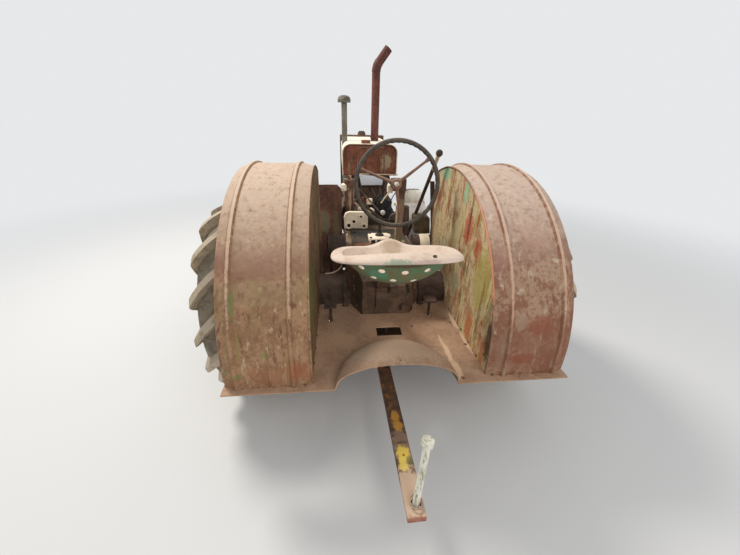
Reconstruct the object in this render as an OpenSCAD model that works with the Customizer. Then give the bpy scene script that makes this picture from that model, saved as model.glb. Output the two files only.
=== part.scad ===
// Standard-tread vintage tractor with a horizontal two-cylinder engine, seen parked.
// +Y is forward, +X is the driver's right, +Z is up, and the ground is at Z = 0.
// Inside the modules Y = 0 is the rear axle; from_axle() moves that to the middle of the tractor.

/* [Wheels] */
// Distance from the rear axle to the front axle
wheelbase = 1850; // [1800:10:1950]
// Rear tyre radius at the lug tips
rear_tyre_r = 532; // [510:2:560]
// Rear tyre section width
rear_tyre_w = 300; // [260:5:320]
// Rear rim radius, where the tyre seats
rear_rim_r = 312; // [295:1:325]
// Distance between the rear tyre centres
rear_track = 1530; // [1500:10:1600]
// Front tyre radius
front_tyre_r = 384; // [370:2:400]
// Front tyre section width
front_tyre_w = 184; // [150:2:190]
// Front rim radius, where the tyre seats
front_rim_r = 212; // [200:1:225]
// Distance between the front tyre centres
front_track = 1180; // [1170:2:1240]
// How far the rear tyre lugs stand out of the tread
lug_h = 40; // [25:1:44]

/* [Fenders and platform] */
// Inner face of each fender from the centre line
fender_in = 373; // [365:1:400]
// Width of a fender crown
fender_w = 347; // [300:1:380]
// Radius of a fender crown about the wheel
fender_r = 736; // [700:2:760]
// How far the fender reaches forward of the rear axle
fender_front = 300; // [200:5:400]
// Sheet thickness of fenders and guards
sheet = 4; // [3:0.5:6]
// Height of a pressed rib on the fender crown
rib_h = 9; // [4:1:14]
// Height of the platform's top face above the ground
floor_z = 504; // [490:2:516]
// Platform plate thickness
floor_t = 6; // [4:0.5:10]
// Radius of the half dome pressed up over the drawbar
hump_r = 258; // [220:2:270]
// Height of that dome above the platform
hump_h = 120; // [80:2:140]

/* [Main case] */
// Width of the one-piece main case
case_w = 420; // [400:5:430]
// Height of the main case top
case_top = 769; // [750:1:790]
// Height of the main case underside
case_bottom = 345; // [330:5:370]
// How far the case reaches behind the rear axle
case_rear = 226; // [210:2:240]
// Radius of an axle housing's flange
housing_r = 126; // [115:1:130]
// Radius of a rear axle shaft
axle_r = 34; // [28:1:40]

/* [Engine] */
// Crankshaft distance ahead of the rear axle
crank_y = 780; // [760:5:800]
// Crankshaft height
crank_z = 715; // [700:1:725]
// Flywheel radius
flywheel_r = 300; // [250:5:305]
// Flywheel rim width
flywheel_w = 110; // [80:5:120]
// Belt pulley radius
pulley_r = 165; // [150:5:180]
// Belt pulley face width
pulley_w = 175; // [130:5:180]
// Radius of the crankshaft ends
crank_r = 30; // [25:1:36]
// Radius of the cooling fan
fan_r = 170; // [140:5:175]

/* [Hood] */
// Hood width
hood_w = 405; // [395:1:420]
// Height of the hood's top
hood_top = 1312; // [1295:1:1340]
// Height of the hood's lower edges
hood_bottom = 1092; // [1086:1:1120]
// Distance from the rear axle to the back of the hood
hood_rear = 752; // [740:2:770]
// Distance from the rear axle to the back of the radiator
radiator_y = 1640; // [1635:5:1680]
// Thickness of the radiator core
radiator_t = 110; // [90:5:130]

/* [Stacks] */
// Exhaust pipe radius
exhaust_r = 31; // [26:1:36]
// Height at which the exhaust pipe starts to curve
exhaust_bend_z = 1800; // [1650:5:1850]
// Distance of the exhaust from the centre line
exhaust_x = 54; // [46:2:70]
// Air stack radius
stack_r = 22; // [18:1:24]
// Height of the air stack's cap
stack_top = 1632; // [1500:2:1680]
// Distance of both stacks ahead of the rear axle
stack_y = 1100; // [1090:5:1150]

/* [Steering] */
// Steering wheel outside radius
steer_r = 229; // [200:1:240]
// Steering wheel rim radius
steer_rim = 12.5; // [11:0.5:15]
// Length of the steering arms
arm_len = 140; // [120:5:150]
// Distance of each kingpin from the centre line
kingpin_x = 460; // [450:2:464]

/* [Seat] */
// Seat width
seat_w = 510; // [460:2:530]
// Seat length, front to back
seat_len = 420; // [380:5:440]
// Seat sheet thickness
seat_t = 6; // [4:0.5:8]
// Height of the seat's lowest point
seat_z = 918; // [900:2:950]

/* [Drawbar] */
// Distance of the drawbar's end behind the rear axle
drawbar_rear = 1155; // [1120:5:1180]
// Height of the drawbar's top face
drawbar_z = 314; // [300:1:325]
// Drawbar width
drawbar_w = 64; // [60:2:76]
// Drawbar thickness
drawbar_t = 25; // [20:1:30]
// Radius of the hole in the drawbar
hitch_hole_r = 18; // [17:0.5:20]

/* [Hidden] */
$fn = 64;

// Running clearance between a shaft and the hole it turns in
fit_gap = 0.08;
axle_z = rear_tyre_r;
spindle_z = front_tyre_r;
mid_y = (wheelbase + front_tyre_r - drawbar_rear) / 2;
rear_x = rear_track / 2;
front_x = front_track / 2;
case_half = case_w / 2;
drum_r = housing_r - 18;
case_front = crank_y + 170;
block_top = crank_z + 140;
block_bottom = crank_z - 140;
block_half = 200;
head_y = case_front + 450;
cover_y = head_y + 80;
bolster_front = wheelbase + 50;
bolster_half = 105;
pivot_z = 560;
radiator_bottom = block_bottom + 75;
hood_x = -12;
cover_t = 14;
crank_cover_z = case_top + 40;

rust = [0.45, 0.29, 0.21];
dust = [0.62, 0.50, 0.42];
iron = [0.28, 0.22, 0.19];
rubber = [0.30, 0.29, 0.26];
green = [0.25, 0.42, 0.28];
steel = [0.60, 0.60, 0.55];
black = [0.12, 0.12, 0.13];

module from_axle() { translate([0, -mid_y, 0]) children(); }

// A cylinder along X from x0 to x1 at height z and distance y
module xcyl(x0, x1, y, z, r) { translate([x0, y, z]) rotate([0, 90, 0]) cylinder(h = x1 - x0, r = r); }

// A cylinder along Y from y0 to y1
module ycyl(y0, y1, x, z, r) { translate([x, y0, z]) rotate([-90, 0, 0]) cylinder(h = y1 - y0, r = r); }

// A cylinder along Z from z0 to z1
module zcyl(z0, z1, x, y, r) { translate([x, y, z0]) cylinder(h = z1 - z0, r = r); }

// A box between two corners
module block(low, high) { translate(low) cube(high - low); }

// A round rod from point a to point b
module rod(a, b, r) {
    d = b - a;
    translate(a) rotate([0, acos(d[2] / norm(d)), atan2(d[1], d[0])]) cylinder(h = norm(d), r = r);
}

// A plate with a side outline of [y, z] points, from x0 to x1
module side_plate(x0, x1, outline) {
    translate([x0, 0, 0]) rotate([90, 0, 90]) linear_extrude(x1 - x0) polygon(outline);
}

// A plate with a plan outline of [x, y] points, from z0 to z1
module plan_plate(z0, z1, outline) { translate([0, 0, z0]) linear_extrude(z1 - z0) polygon(outline); }

// A plate with a front outline of [x, z] points, from y0 to y1
module front_plate(y0, y1, outline) {
    translate([0, y1, 0]) rotate([90, 0, 0]) linear_extrude(y1 - y0) polygon(outline);
}

// Left is side -1, right is side 1
module on_side(side) { mirror([side < 0 ? 1 : 0, 0, 0]) children(); }

// Main case: gearbox, crankcase, front bolster and the straps that hold the drawbar
module main_case() {
    case_side = [[-case_rear, case_bottom + 70], [-case_rear, case_top - 60], [-case_rear + 70, case_top],
        [case_front, case_top], [case_front, case_bottom + 90], [case_front - 110, case_bottom],
        [-case_rear + 80, case_bottom]];
    case_plan = [[-case_half + 80, -case_rear - 1], [case_half - 80, -case_rear - 1],
        [case_half - 20, -drum_r - 2], [case_half, -drum_r + 20], [case_half, case_front + 1],
        [-case_half, case_front + 1], [-case_half, -drum_r + 20], [-case_half + 20, -drum_r - 2]];
    color(iron) from_axle() difference() {
        union() {
            intersection() {
                side_plate(-case_half, case_half, case_side);
                plan_plate(case_bottom - 10, case_top + 10, case_plan);
            }
            xcyl(-case_half, case_half, 0, axle_z, drum_r);
            xcyl(-case_half - 30, case_half + 30, crank_y, crank_z, case_top - crank_z - 2);
            bolster();
            for (y = [-100, 220]) drawbar_strap(y);
            swing_plate();
        }
        xcyl(-case_half - 40, case_half + 40, crank_y, crank_z, crank_r + fit_gap);
    }
}

// The front arm of the main case that carries the engine, the radiator and the front axle
module bolster() {
    side_plate(-bolster_half, bolster_half, [[case_front - 10, case_bottom + 100], [case_front - 10, block_bottom],
        [cover_y + 64, block_bottom], [cover_y + 64, radiator_bottom], [bolster_front, radiator_bottom],
        [bolster_front, pivot_z], [wheelbase - 60, pivot_z], [radiator_y - 70, pivot_z - 40],
        [head_y, block_bottom - 110]]);
    block([hood_x - hood_w / 2, radiator_y - 5, radiator_bottom - 30],
        [hood_x + hood_w / 2, radiator_y + radiator_t + 5, radiator_bottom]);
}

// A U strap under the case that the drawbar lies in
module drawbar_strap(y) {
    low = drawbar_z - drawbar_t - 14;
    x = bar_centre(y);
    block([x - 74, y - 20, low], [x + 74, y + 20, low + 14]);
    for (side = [-1, 1]) translate([x, 0, 0]) on_side(side) block([60, y - 20, low], [74, y + 20, case_bottom + 5]);
}

// The plate that the drawbar rests and swings on
swing_half = 180;
module swing_plate() {
    low = drawbar_z - drawbar_t - 14;
    plan_plate(low, low + 14, [[-swing_half, -110], [-swing_half + 60, -190], [swing_half - 60, -190],
        [swing_half, -110], [swing_half, -40], [-swing_half, -40]]);
}

// Axle housings: drums bolted to the case, each with the bore its axle shaft turns in
housing_end = rear_x - rear_tyre_w / 2 - 50;
module axle_housings() {
    color(iron) from_axle() for (side = [-1, 1]) on_side(side) difference() {
        union() {
            xcyl(case_half, case_half + 22, 0, axle_z, housing_r);
            xcyl(case_half + 22, fender_in + 40, 0, axle_z, drum_r);
            xcyl(fender_in + 40, housing_end, 0, axle_z, 75);
        }
        xcyl(case_half + 60, housing_end + 5, 0, axle_z, axle_r + fit_gap);
    }
}

// Platform: a plate between the fenders with a strip behind them, a half dome open to the rear and a peep hole
floor_rear = fender_r + 30;
hole_x = [-68, 61];
hole_y = [-428, -354];
pedals = [[-303, -276], [240, -250]];
module platform() {
    strip_x = fender_in + fender_w + 6;
    strip_y = fender_r - 45;
    floor_front = -drum_r - 4;
    outline = [[-strip_x, -floor_rear], [strip_x, -floor_rear], [strip_x, -strip_y], [fender_in, -strip_y],
        [fender_in, floor_front], [case_half - 12, floor_front], [case_half - 72, -case_rear - 4],
        [-case_half + 72, -case_rear - 4], [-case_half + 12, floor_front],
        [-fender_in, floor_front], [-fender_in, -strip_y], [-strip_x, -strip_y]];
    color(dust) from_axle() difference() {
        union() {
            difference() {
                plan_plate(floor_z - floor_t, floor_z, outline);
                zcyl(floor_z - 20, floor_z + 20, hump_x, -floor_rear, hump_r - floor_t / 2);
            }
            hump();
            for (side = [-1, 1]) on_side(side) channel();
        }
        block([hole_x[0], hole_y[0], floor_z - 50], [hole_x[1], hole_y[1], floor_z + 10]);
        for (p = pedals) zcyl(floor_z - 20, floor_z + 10, p[0], p[1], 14);
        for (side = [-1, 1]) on_side(side) {
            xcyl(case_half - 3, case_half + 25, 0, axle_z, housing_r + 3);
            xcyl(case_half + 20, fender_in + 20, 0, axle_z, drum_r);
        }
    }
}

// The half dome over the drawbar: a sheet shell with a full crown and steep sides, turned half round
hump_x = -18;
hump_steps = 8;
function hump_point(k, inset) = let (t = 90 * k / hump_steps, full = 0.9)
    [(hump_r - inset) * pow(cos(t), full), (hump_h + floor_t - inset) * pow(sin(t), full)];
module hump() {
    translate([hump_x, -floor_rear, floor_z - floor_t]) rotate_extrude(angle = 180, $fn = 96)
        polygon(concat([for (k = [0:hump_steps]) hump_point(k, 0)], [for (k = [hump_steps:-1:0]) hump_point(k, floor_t)]));
}

// A channel that carries the platform back from the axle housing
module channel() {
    x = fender_in - 35;
    low = floor_z - floor_t - 50;
    block([x - 20, -floor_rear + 50, low], [x + 20, -drum_r + 60, floor_z - floor_t + 0.5]);
    side_plate(x - 20, x + 20, [[-drum_r - 50, low + 1], [-drum_r - 30, low - 70],
        [-drum_r + 60, low - 70], [-drum_r + 60, low + 1]]);
}

// Fender: a crown with two pressed ribs, turned about the wheel, and an inner side panel
rib_at = [0.20, 0.85];
rib_w = 26;
side_drop = 14;
function crown_outer() = let (a = fender_w * rib_at[0], b = fender_w * rib_at[1], r = fender_r) [
    [0, r - side_drop], [a - rib_w / 2, r], [a - rib_w / 4, r + rib_h], [a + rib_w / 4, r + rib_h],
    [a + rib_w / 2, r], [b - rib_w / 2, r], [b - rib_w / 4, r + rib_h], [b + rib_w / 4, r + rib_h],
    [b + rib_w / 2, r], [fender_w, r - side_drop]];
function crown_profile() = let (outer = crown_outer(), n = len(outer))
    concat([for (p = outer) [p[1], p[0]]], [for (i = [n - 1:-1:0]) [outer[i][1] - sheet, outer[i][0]]]);
crown_low = asin((floor_z - axle_z) / fender_r) - 3;
crown_high = 180 - acos(fender_front / fender_r);

module fender(side) {
    color(rust) from_axle() on_side(side) {
        intersection() {
            translate([fender_in, 0, axle_z]) rotate([0, 90, 0]) rotate([0, 0, -90 - crown_high])
                rotate_extrude(angle = crown_high - crown_low, $fn = 128) polygon(crown_profile());
            block([0, -fender_r - 50, floor_z], [1000, fender_r, axle_z + fender_r + 50]);
        }
        fender_panel();
    }
}

// The flat inner side of a fender, from the platform up to the crown
module fender_panel() {
    r = fender_r - side_drop - sheet / 2;
    translate([fender_in, 0, 0]) rotate([90, 0, 90]) linear_extrude(sheet) difference() {
        intersection() {
            translate([0, axle_z]) circle(r, $fn = 128);
            translate([-fender_r, floor_z]) square([fender_r + fender_front, fender_r + 50]);
        }
        translate([0, axle_z]) circle(drum_r + 6);
    }
}
module fender_left() { fender(-1); }
module fender_right() { fender(1); }

// Seat pan as one closed sheet: a deep wide bowl, a brim rolled down, a raised back and a front peak
seat_x = -26;
seat_y = -592;
bowl_at = 0.83;
// Each ring as [share of the half width, how far the brim has rolled down]
seat_rings = [[0.16, 0], [0.32, 0], [0.47, 0], [0.60, 0], [0.71, 0], [0.79, 0], [0.87, 0], [0.95, 2], [1, 9],
    [0.985, 21]];
function seat_point(s, drop, a, lift) =
    let (back = max(0, -sin(a)), front = max(0, sin(a)),
        x = seat_x + seat_w / 2 * s * cos(a), y = seat_y + seat_len / 2 * s * sin(a),
        rise = 112 + 64 * pow(back, 1.3) - 62 * pow(front, 2) + 36 * pow(front, 30),
        bowl = s < bowl_at ? pow(s / bowl_at, 3) : 1)
    [x, y, seat_z + rise * bowl - drop + lift];
module seat() {
    rings = len(seat_rings);
    spokes = 40;
    function ring(i, lift) = [for (k = [0:spokes - 1])
        seat_point(seat_rings[i - 1][0], seat_rings[i - 1][1], 360 * k / spokes, lift)];
    top = [for (i = [1:rings]) each ring(i, seat_t)];
    low = [for (i = [1:rings]) each ring(i, 0)];
    points = concat(top, low, [seat_point(0, 0, 0, seat_t)], [seat_point(0, 0, 0, 0)]);
    n = rings * spokes;
    function at(i, k) = i * spokes + (k % spokes);
    faces = concat(
        [for (i = [0:rings - 2], k = [0:spokes - 1]) [at(i, k), at(i + 1, k), at(i + 1, k + 1)]],
        [for (i = [0:rings - 2], k = [0:spokes - 1]) [at(i, k), at(i + 1, k + 1), at(i, k + 1)]],
        [for (i = [0:rings - 2], k = [0:spokes - 1]) [n + at(i, k), n + at(i + 1, k + 1), n + at(i + 1, k)]],
        [for (i = [0:rings - 2], k = [0:spokes - 1]) [n + at(i, k), n + at(i, k + 1), n + at(i + 1, k + 1)]],
        [for (k = [0:spokes - 1]) [at(rings - 1, k), n + at(rings - 1, k), n + at(rings - 1, k + 1)]],
        [for (k = [0:spokes - 1]) [at(rings - 1, k), n + at(rings - 1, k + 1), at(rings - 1, k + 1)]],
        [for (k = [0:spokes - 1]) [2 * n, at(0, k), at(0, k + 1)]],
        [for (k = [0:spokes - 1]) [2 * n + 1, n + at(0, k + 1), n + at(0, k)]]);
    color(green) from_axle() polyhedron(points, faces);
}

// Flat steel spring from the back of the case up to the seat
module seat_spring() {
    t = 12;
    rise_y = seat_y + 60;
    color(iron) from_axle() {
        side_plate(seat_x - 30, seat_x + 30, [[-case_rear - t, case_top - 230], [-case_rear, case_top - 230],
            [-case_rear, case_top - 80], [rise_y, seat_z], [seat_y - 50, seat_z], [seat_y - 50, seat_z - t],
            [rise_y, seat_z - t], [-case_rear - t, case_top - 96]]);
    }
}

// Steering: the wheel's axis runs forward, down and a little to the right
hub = [65, 20, 1167];
box_at = [215, radiator_y - 120, 945];
steer_dir = (box_at - hub) / norm(box_at - hub);
module along_shaft(dist) {
    translate(hub + steer_dir * dist) rotate([0, acos(steer_dir[2]), atan2(steer_dir[1], steer_dir[0])])
        rotate([0, 0, 90]) children();
}

module steering_post() {
    head = hub + steer_dir * 85;
    foot = case_top + cover_t;
    color(iron) from_axle() difference() {
        union() {
            block([88, 88, foot], [130, 124, head[2] - 20]);
            block([62, 62, foot], [156, 150, foot + 16]);
            along_shaft(55) cylinder(h = 90, r = 32);
            block([52, 78, head[2] - 36], [132, 130, head[2] + 28]);
        }
        along_shaft(0) cylinder(h = 250, r = 15 + fit_gap);
    }
}

// Rim, three spokes, hub and the long shaft in one piece
module steering_wheel() {
    ring_r = steer_r - steer_rim;
    color(iron) from_axle() {
        along_shaft(-20) rotate_extrude() translate([ring_r, 0]) circle(steer_rim, $fn = 24);
        along_shaft(-12) cylinder(h = 60, r = 30);
        along_shaft(0) for (a = [111, 231, 351]) rotate([0, 0, a - 90]) rod([20, 0, 12], [ring_r, 0, -20], 8);
        along_shaft(40) cylinder(h = norm(box_at - hub) - 75, r = 15);
    }
}

// Worm box beside the radiator, with the upright sector shaft's housing under it
sector = [box_at[0], box_at[1] + 60];
module steering_gearbox() {
    color(iron) from_axle() difference() {
        union() {
            along_shaft(norm(box_at - hub) - 60) cylinder(h = 120, r = 46);
            zcyl(arm_z + 60, box_at[2] + 10, sector[0], sector[1], 40);
            block([bolster_half, sector[1] - 30, arm_z + 62], [sector[0] - 20, sector[1] + 30, radiator_bottom - 5]);
        }
        along_shaft(norm(box_at - hub) - 70) cylinder(h = 45, r = 15 + fit_gap);
        zcyl(arm_z + 40, arm_z + 120, sector[0], sector[1], 18 + fit_gap);
    }
}

// Front steering linkage: parallel arms of one length, so that every pin stays in its eye
arm_z = 530;
link_z = 513;
tie_z = 480;
pin_r = 11;
module eye(p, z, r, h) { translate([p[0], p[1], z]) cylinder(h = h, r = r); }

module pitman_arm() {
    tip = [sector[0], sector[1] - arm_len];
    color(steel) from_axle() {
        zcyl(arm_z, arm_z + 110, sector[0], sector[1], 18);
        plan_plate(arm_z, arm_z + 22, [[sector[0] - 20, sector[1]], [sector[0] + 20, sector[1]],
            [tip[0] + 14, tip[1]], [tip[0] - 14, tip[1]]]);
        eye(sector, arm_z, 30, 22);
        eye(tip, arm_z, 21, 22);
        eye(tip, link_z - 19, pin_r, arm_z - link_z + 30);
    }
}

module drag_link() {
    a = [sector[0], sector[1] - arm_len];
    b = [kingpin_x, wheelbase - arm_len];
    color(steel) from_axle() difference() {
        union() {
            rod([a[0], a[1], link_z], [b[0], b[1], link_z], 12);
            eye(a, link_z - 14, 22, 28);
            eye(b, link_z - 14, 22, 28);
        }
        eye(a, link_z - 20, pin_r + fit_gap, 40);
        eye(b, link_z - 20, pin_r + fit_gap, 40);
    }
}

module tie_rod() {
    y = wheelbase - arm_len;
    color(steel) from_axle() difference() {
        union() {
            rod([-kingpin_x, y, tie_z], [kingpin_x, y, tie_z], 13);
            for (x = [-kingpin_x, kingpin_x]) eye([x, y], tie_z - 14, 22, 28);
        }
        for (x = [-kingpin_x, kingpin_x]) eye([x, y], tie_z - 20, pin_r + fit_gap, 40);
    }
}

// Front axle beam, fixed under the bolster, with a kingpin eye at each end
eye_low = 432;
eye_top = 520;
module front_axle() {
    mid_x = 200;
    low = eye_low + 12;
    top = eye_top - 14;
    color(iron) from_axle() difference() {
        union() {
            block([-bolster_half, wheelbase - 50, eye_low + 48], [bolster_half, wheelbase + 40, pivot_z]);
            front_plate(wheelbase - 34, wheelbase + 34, [[-kingpin_x, low], [-kingpin_x + 90, low - 6],
                [-mid_x, low + 1], [mid_x, low + 1], [kingpin_x - 90, low - 6], [kingpin_x, low],
                [kingpin_x, top], [kingpin_x - 100, top + 2], [mid_x, top + 29], [-mid_x, top + 29],
                [-kingpin_x + 100, top + 2], [-kingpin_x, top]]);
            for (x = [-kingpin_x, kingpin_x]) zcyl(eye_low, eye_top, x, wheelbase, 38);
        }
        for (x = [-kingpin_x, kingpin_x]) zcyl(eye_low - 10, eye_top + 10, x, wheelbase, 18 + fit_gap);
    }
}

// Knuckle: kingpin, body, spindle and the steering arm with its pin
spindle_r = 22;
module knuckle(side) {
    tip = [kingpin_x, wheelbase - arm_len];
    color(iron) from_axle() on_side(side) {
        zcyl(eye_low - 50, arm_z + 24, kingpin_x, wheelbase, 18);
        zcyl(spindle_z - 30, eye_low - 1, kingpin_x, wheelbase, 32);
        zcyl(eye_top + 1, arm_z + 20, kingpin_x, wheelbase, 32);
        xcyl(kingpin_x - 10, front_x + 45, wheelbase, spindle_z, spindle_r);
        plan_plate(arm_z, arm_z + 20, [[tip[0] - 20, wheelbase], [tip[0] + 20, wheelbase],
            [tip[0] + 14, tip[1]], [tip[0] - 14, tip[1]]]);
        eye(tip, arm_z, 21, 20);
        eye(tip, tie_z - 17, pin_r, arm_z - tie_z + 27);
    }
}
module knuckle_left() { knuckle(-1); }
module knuckle_right() { knuckle(1); }

// Rear tyre: a hollow carcass turned about the axle, with slanting lugs on each half of the tread
lug_count = 16;
lug_t = 38;
lug_slant = 42;
lug_phase = 5.4;
tyre_facets = 40;
module rear_tyre(side) {
    w = rear_tyre_w / 2;
    base = rear_tyre_r - lug_h;
    rim = rear_rim_r;
    color(rubber) from_axle() on_side(side) translate([rear_x, 0, axle_z]) rotate([0, 90, 0]) {
        rotate_extrude($fn = tyre_facets) polygon([[rim, -w * 0.62], [rim + 60, -w * 0.9], [base - 35, -w * 0.97],
            [base - 8, -w * 0.7], [base, 0], [base - 8, w * 0.7], [base - 35, w * 0.97], [rim + 60, w * 0.9],
            [rim, w * 0.62], [rim, w * 0.62 - 22], [base - 45, w * 0.72], [base - 45, -w * 0.72],
            [rim, 22 - w * 0.62]]);
        intersection() {
            rotate_extrude($fn = tyre_facets) polygon(tread_crown());
            for (half = [0, 1]) mirror([0, 0, half]) for (k = [0:lug_count - 1])
                rotate([0, 0, 360 * (k + half / 2) / lug_count + lug_phase]) rotate([-lug_slant, 0, 0])
                    translate([base - 60, -lug_t / 2, 6]) cube([lug_h + 80, lug_t, w * 1.6]);
        }
    }
}

// The crown that the lugs reach, as [radius, distance from the tread's middle]
function tread_crown() = let (w = rear_tyre_w / 2, r = rear_tyre_r, base = r - lug_h,
    half = [[r, 0], [r - 3, w * 0.45], [r - 14, w * 0.82], [r - 36, w], [base - 30, w * 0.97]])
    concat(half, [for (k = [4:-1:1]) [half[k][0], -half[k][1]]]);
module rear_tyre_left() { rear_tyre(-1); }
module rear_tyre_right() { rear_tyre(1); }

// Rear wheel: rim, dished centre with windows, hub and the axle shaft
module rear_wheel(side) {
    r = rear_rim_r;
    w = rear_tyre_w / 2 * 0.62;
    dish = -30;
    color(iron) from_axle() on_side(side) translate([rear_x, 0, axle_z]) rotate([0, 90, 0]) {
        rotate_extrude($fn = 96) polygon([[r, -w], [r, w], [r - 8, w], [r - 24, w * 0.5], [r - 24, -w * 0.5],
            [r - 8, -w]]);
        difference() {
            rotate_extrude($fn = 96) polygon([[axle_r - 1, dish - 60], [85, dish - 60], [95, dish - 15],
                [r - 30, -14], [r - 10, -14], [r - 10, 10], [r - 30, 10], [105, dish + 12], [85, dish + 60],
                [axle_r - 1, dish + 60]]);
            for (a = [0:60:300]) rotate([0, 0, a]) translate([190, 0, -80]) cylinder(h = 120, r = 46);
        }
        translate([0, 0, case_half + 70 - rear_x]) cylinder(h = rear_x - case_half - 10, r = axle_r);
    }
}
module rear_wheel_left() { rear_wheel(-1); }
module rear_wheel_right() { rear_wheel(1); }

// Front tyre with plain ribs round the tread
module front_tyre(side) {
    w = front_tyre_w / 2;
    r = front_tyre_r;
    rim = front_rim_r;
    color(rubber) from_axle() on_side(side) translate([front_x, wheelbase, spindle_z]) rotate([0, 90, 0])
        rotate_extrude($fn = tyre_facets) polygon([[rim, -w * 0.62], [rim + 50, -w], [r - 60, -w],
            [r - 16, -w * 0.75], [r, -w * 0.55], [r, -w * 0.18], [r - 9, -w * 0.15], [r - 9, w * 0.15],
            [r, w * 0.18], [r, w * 0.55], [r - 16, w * 0.75], [r - 60, w], [rim + 50, w], [rim, w * 0.62],
            [rim, w * 0.62 - 18], [r - 50, w - 24], [r - 50, 24 - w], [rim, 18 - w * 0.62]]);
}
module front_tyre_left() { front_tyre(-1); }
module front_tyre_right() { front_tyre(1); }

// Front wheel: rim, disc and hub, bored for the spindle
module front_wheel(side) {
    r = front_rim_r;
    w = front_tyre_w / 2 * 0.62;
    color(iron) from_axle() on_side(side) translate([front_x, wheelbase, spindle_z]) rotate([0, 90, 0])
        difference() {
            union() {
                rotate_extrude($fn = 96) polygon([[r, -w], [r, w], [r - 8, w], [r - 20, w * 0.4],
                    [r - 20, -w * 0.4], [r - 8, -w]]);
                rotate_extrude($fn = 96) polygon([[0, -44], [50, -44], [58, 0], [r - 15, -8], [r - 15, 4],
                    [66, 16], [50, 58], [0, 64]]);
            }
            translate([0, 0, -50]) cylinder(h = 96, r = spindle_r + fit_gap);
        }
}
module front_wheel_left() { front_wheel(-1); }
module front_wheel_right() { front_wheel(1); }

// Top of the gearbox with the shift gate and its lever
module transmission_cover() {
    gate = case_top + cover_t + 25;
    knob = [-135, 120, case_top + cover_t + 275];
    color(iron) from_axle() {
        block([-170, -120, case_top], [190, 420, case_top + cover_t]);
        block([-58, 150, case_top + cover_t], [77, 260, gate]);
        rod([7, 215, gate - 5], [7, 200, gate + 125], 9);
        rod([7, 201, gate + 119], knob, 8);
        translate(knob) sphere(18);
    }
}

// Brakes: a drum on each side of the case, and a pedal whose arm passes under the axle housing
brake_y = 150;
brake_z = 772;
brake_r = 60;
module brakes() {
    low = floor_z - 119;
    color(iron) from_axle() for (p = pedals) {
        side = sign(p[0]);
        on_side(side) xcyl(case_half, 318, brake_y, brake_z, brake_r);
        zcyl(floor_z - 64, floor_z + 95, p[0], p[1], 8);
        block([p[0] - 32, p[1] - 30, floor_z + 92], [p[0] + 32, p[1] + 30, floor_z + 102]);
        rod([p[0], p[1] - 2, floor_z - 60], [p[0], -120, low], 9);
        rod([p[0], -126, low], [p[0], 66, low], 9);
        rod([p[0], 60, low - 3], [p[0], 146, low + 95], 9);
        rod([p[0], 142, low + 86], [p[0], brake_y, brake_z - brake_r + 15], 9);
    }
}

// Hand clutch lever pivoted on the right of the case
lever_low = [238, 480, case_top - 95];
lever_top = [322, 150, 1314];
module clutch_lever() {
    color(iron) from_axle() {
        rod(lever_low, lever_top, 11);
        translate(lever_top) sphere(20);
        xcyl(case_half, 262, lever_low[1], lever_low[2], 30);
    }
}

// Engine: two cylinders lying forward of the crankcase, solid inside
module cylinder_block() {
    color(iron) from_axle() {
        block([-block_half, case_front, block_bottom], [block_half, head_y, block_top]);
        for (side = [-1, 1]) ycyl(case_front, head_y, side * 90, crank_z, (block_top - block_bottom) / 2);
    }
}

// Head with its valve cover, and the intake pipe that runs back over the block to the air cleaner
neck_y = stack_y + 110;
neck_z = block_top + 50;
module cylinder_head() {
    color(iron) from_axle() {
        block([-block_half - 10, head_y, block_bottom + 5], [block_half + 10, cover_y, block_top + 5]);
        block([-block_half + 30, cover_y, block_bottom + 40], [block_half - 40, cover_y + 60, block_top - 30]);
        zcyl(block_top, neck_z + 30, cleaner_x, head_y + 40, 30);
        ycyl(neck_y, head_y + 30, cleaner_x, neck_z, 22);
    }
}

module crankcase_cover() {
    color(iron) from_axle() {
        block([-185, 560, case_top], [185, case_front, crank_cover_z]);
        block([-205, 440, case_top], [-45, 570, case_top + 92]);
    }
}

filter_x = -168;
module oil_filter() {
    color(rust) from_axle() {
        zcyl(crank_cover_z, crank_cover_z + 260, filter_x, 640, 36);
        zcyl(crank_cover_z + 260, crank_cover_z + 276, filter_x, 640, 42);
        zcyl(crank_cover_z + 276, crank_cover_z + 300, filter_x, 640, 14);
    }
}

module magneto() {
    color(black) from_axle() {
        block([17, 600, crank_cover_z], [143, 690, crank_cover_z + 70]);
        ycyl(590, 700, 80, crank_cover_z + 100, 45);
    }
}

// Governor case on the crankcase, with the tube of the fan shaft running forward
fan_x = hood_x;
fan_z = 985;
fan_y = radiator_y - 40;
module governor() {
    color(iron) from_axle() {
        block([fan_x - 50, crank_y, crank_cover_z], [fan_x + 50, crank_y + 130, fan_z - 60]);
        block([fan_x - 62, crank_y + 8, fan_z - 75], [fan_x + 120, crank_y + 122, fan_z + 32]);
        difference() {
            ycyl(crank_y + 120, fan_y - 12, fan_x, fan_z, 22);
            ycyl(fan_y - 120, fan_y, fan_x, fan_z, 12 + fit_gap);
        }
    }
}
module fan() {
    color(steel) from_axle() {
        ycyl(fan_y - 11, fan_y + 22, fan_x, fan_z, 40);
        ycyl(fan_y - 115, fan_y, fan_x, fan_z, 12);
        for (a = [0:90:270]) translate([fan_x, fan_y + 5, fan_z]) rotate([0, a, 0])
            translate([28, 0, 0]) rotate([24, 0, 0]) translate([0, -2, -32]) cube([fan_r - 28, 4, 64]);
    }
}

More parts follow.
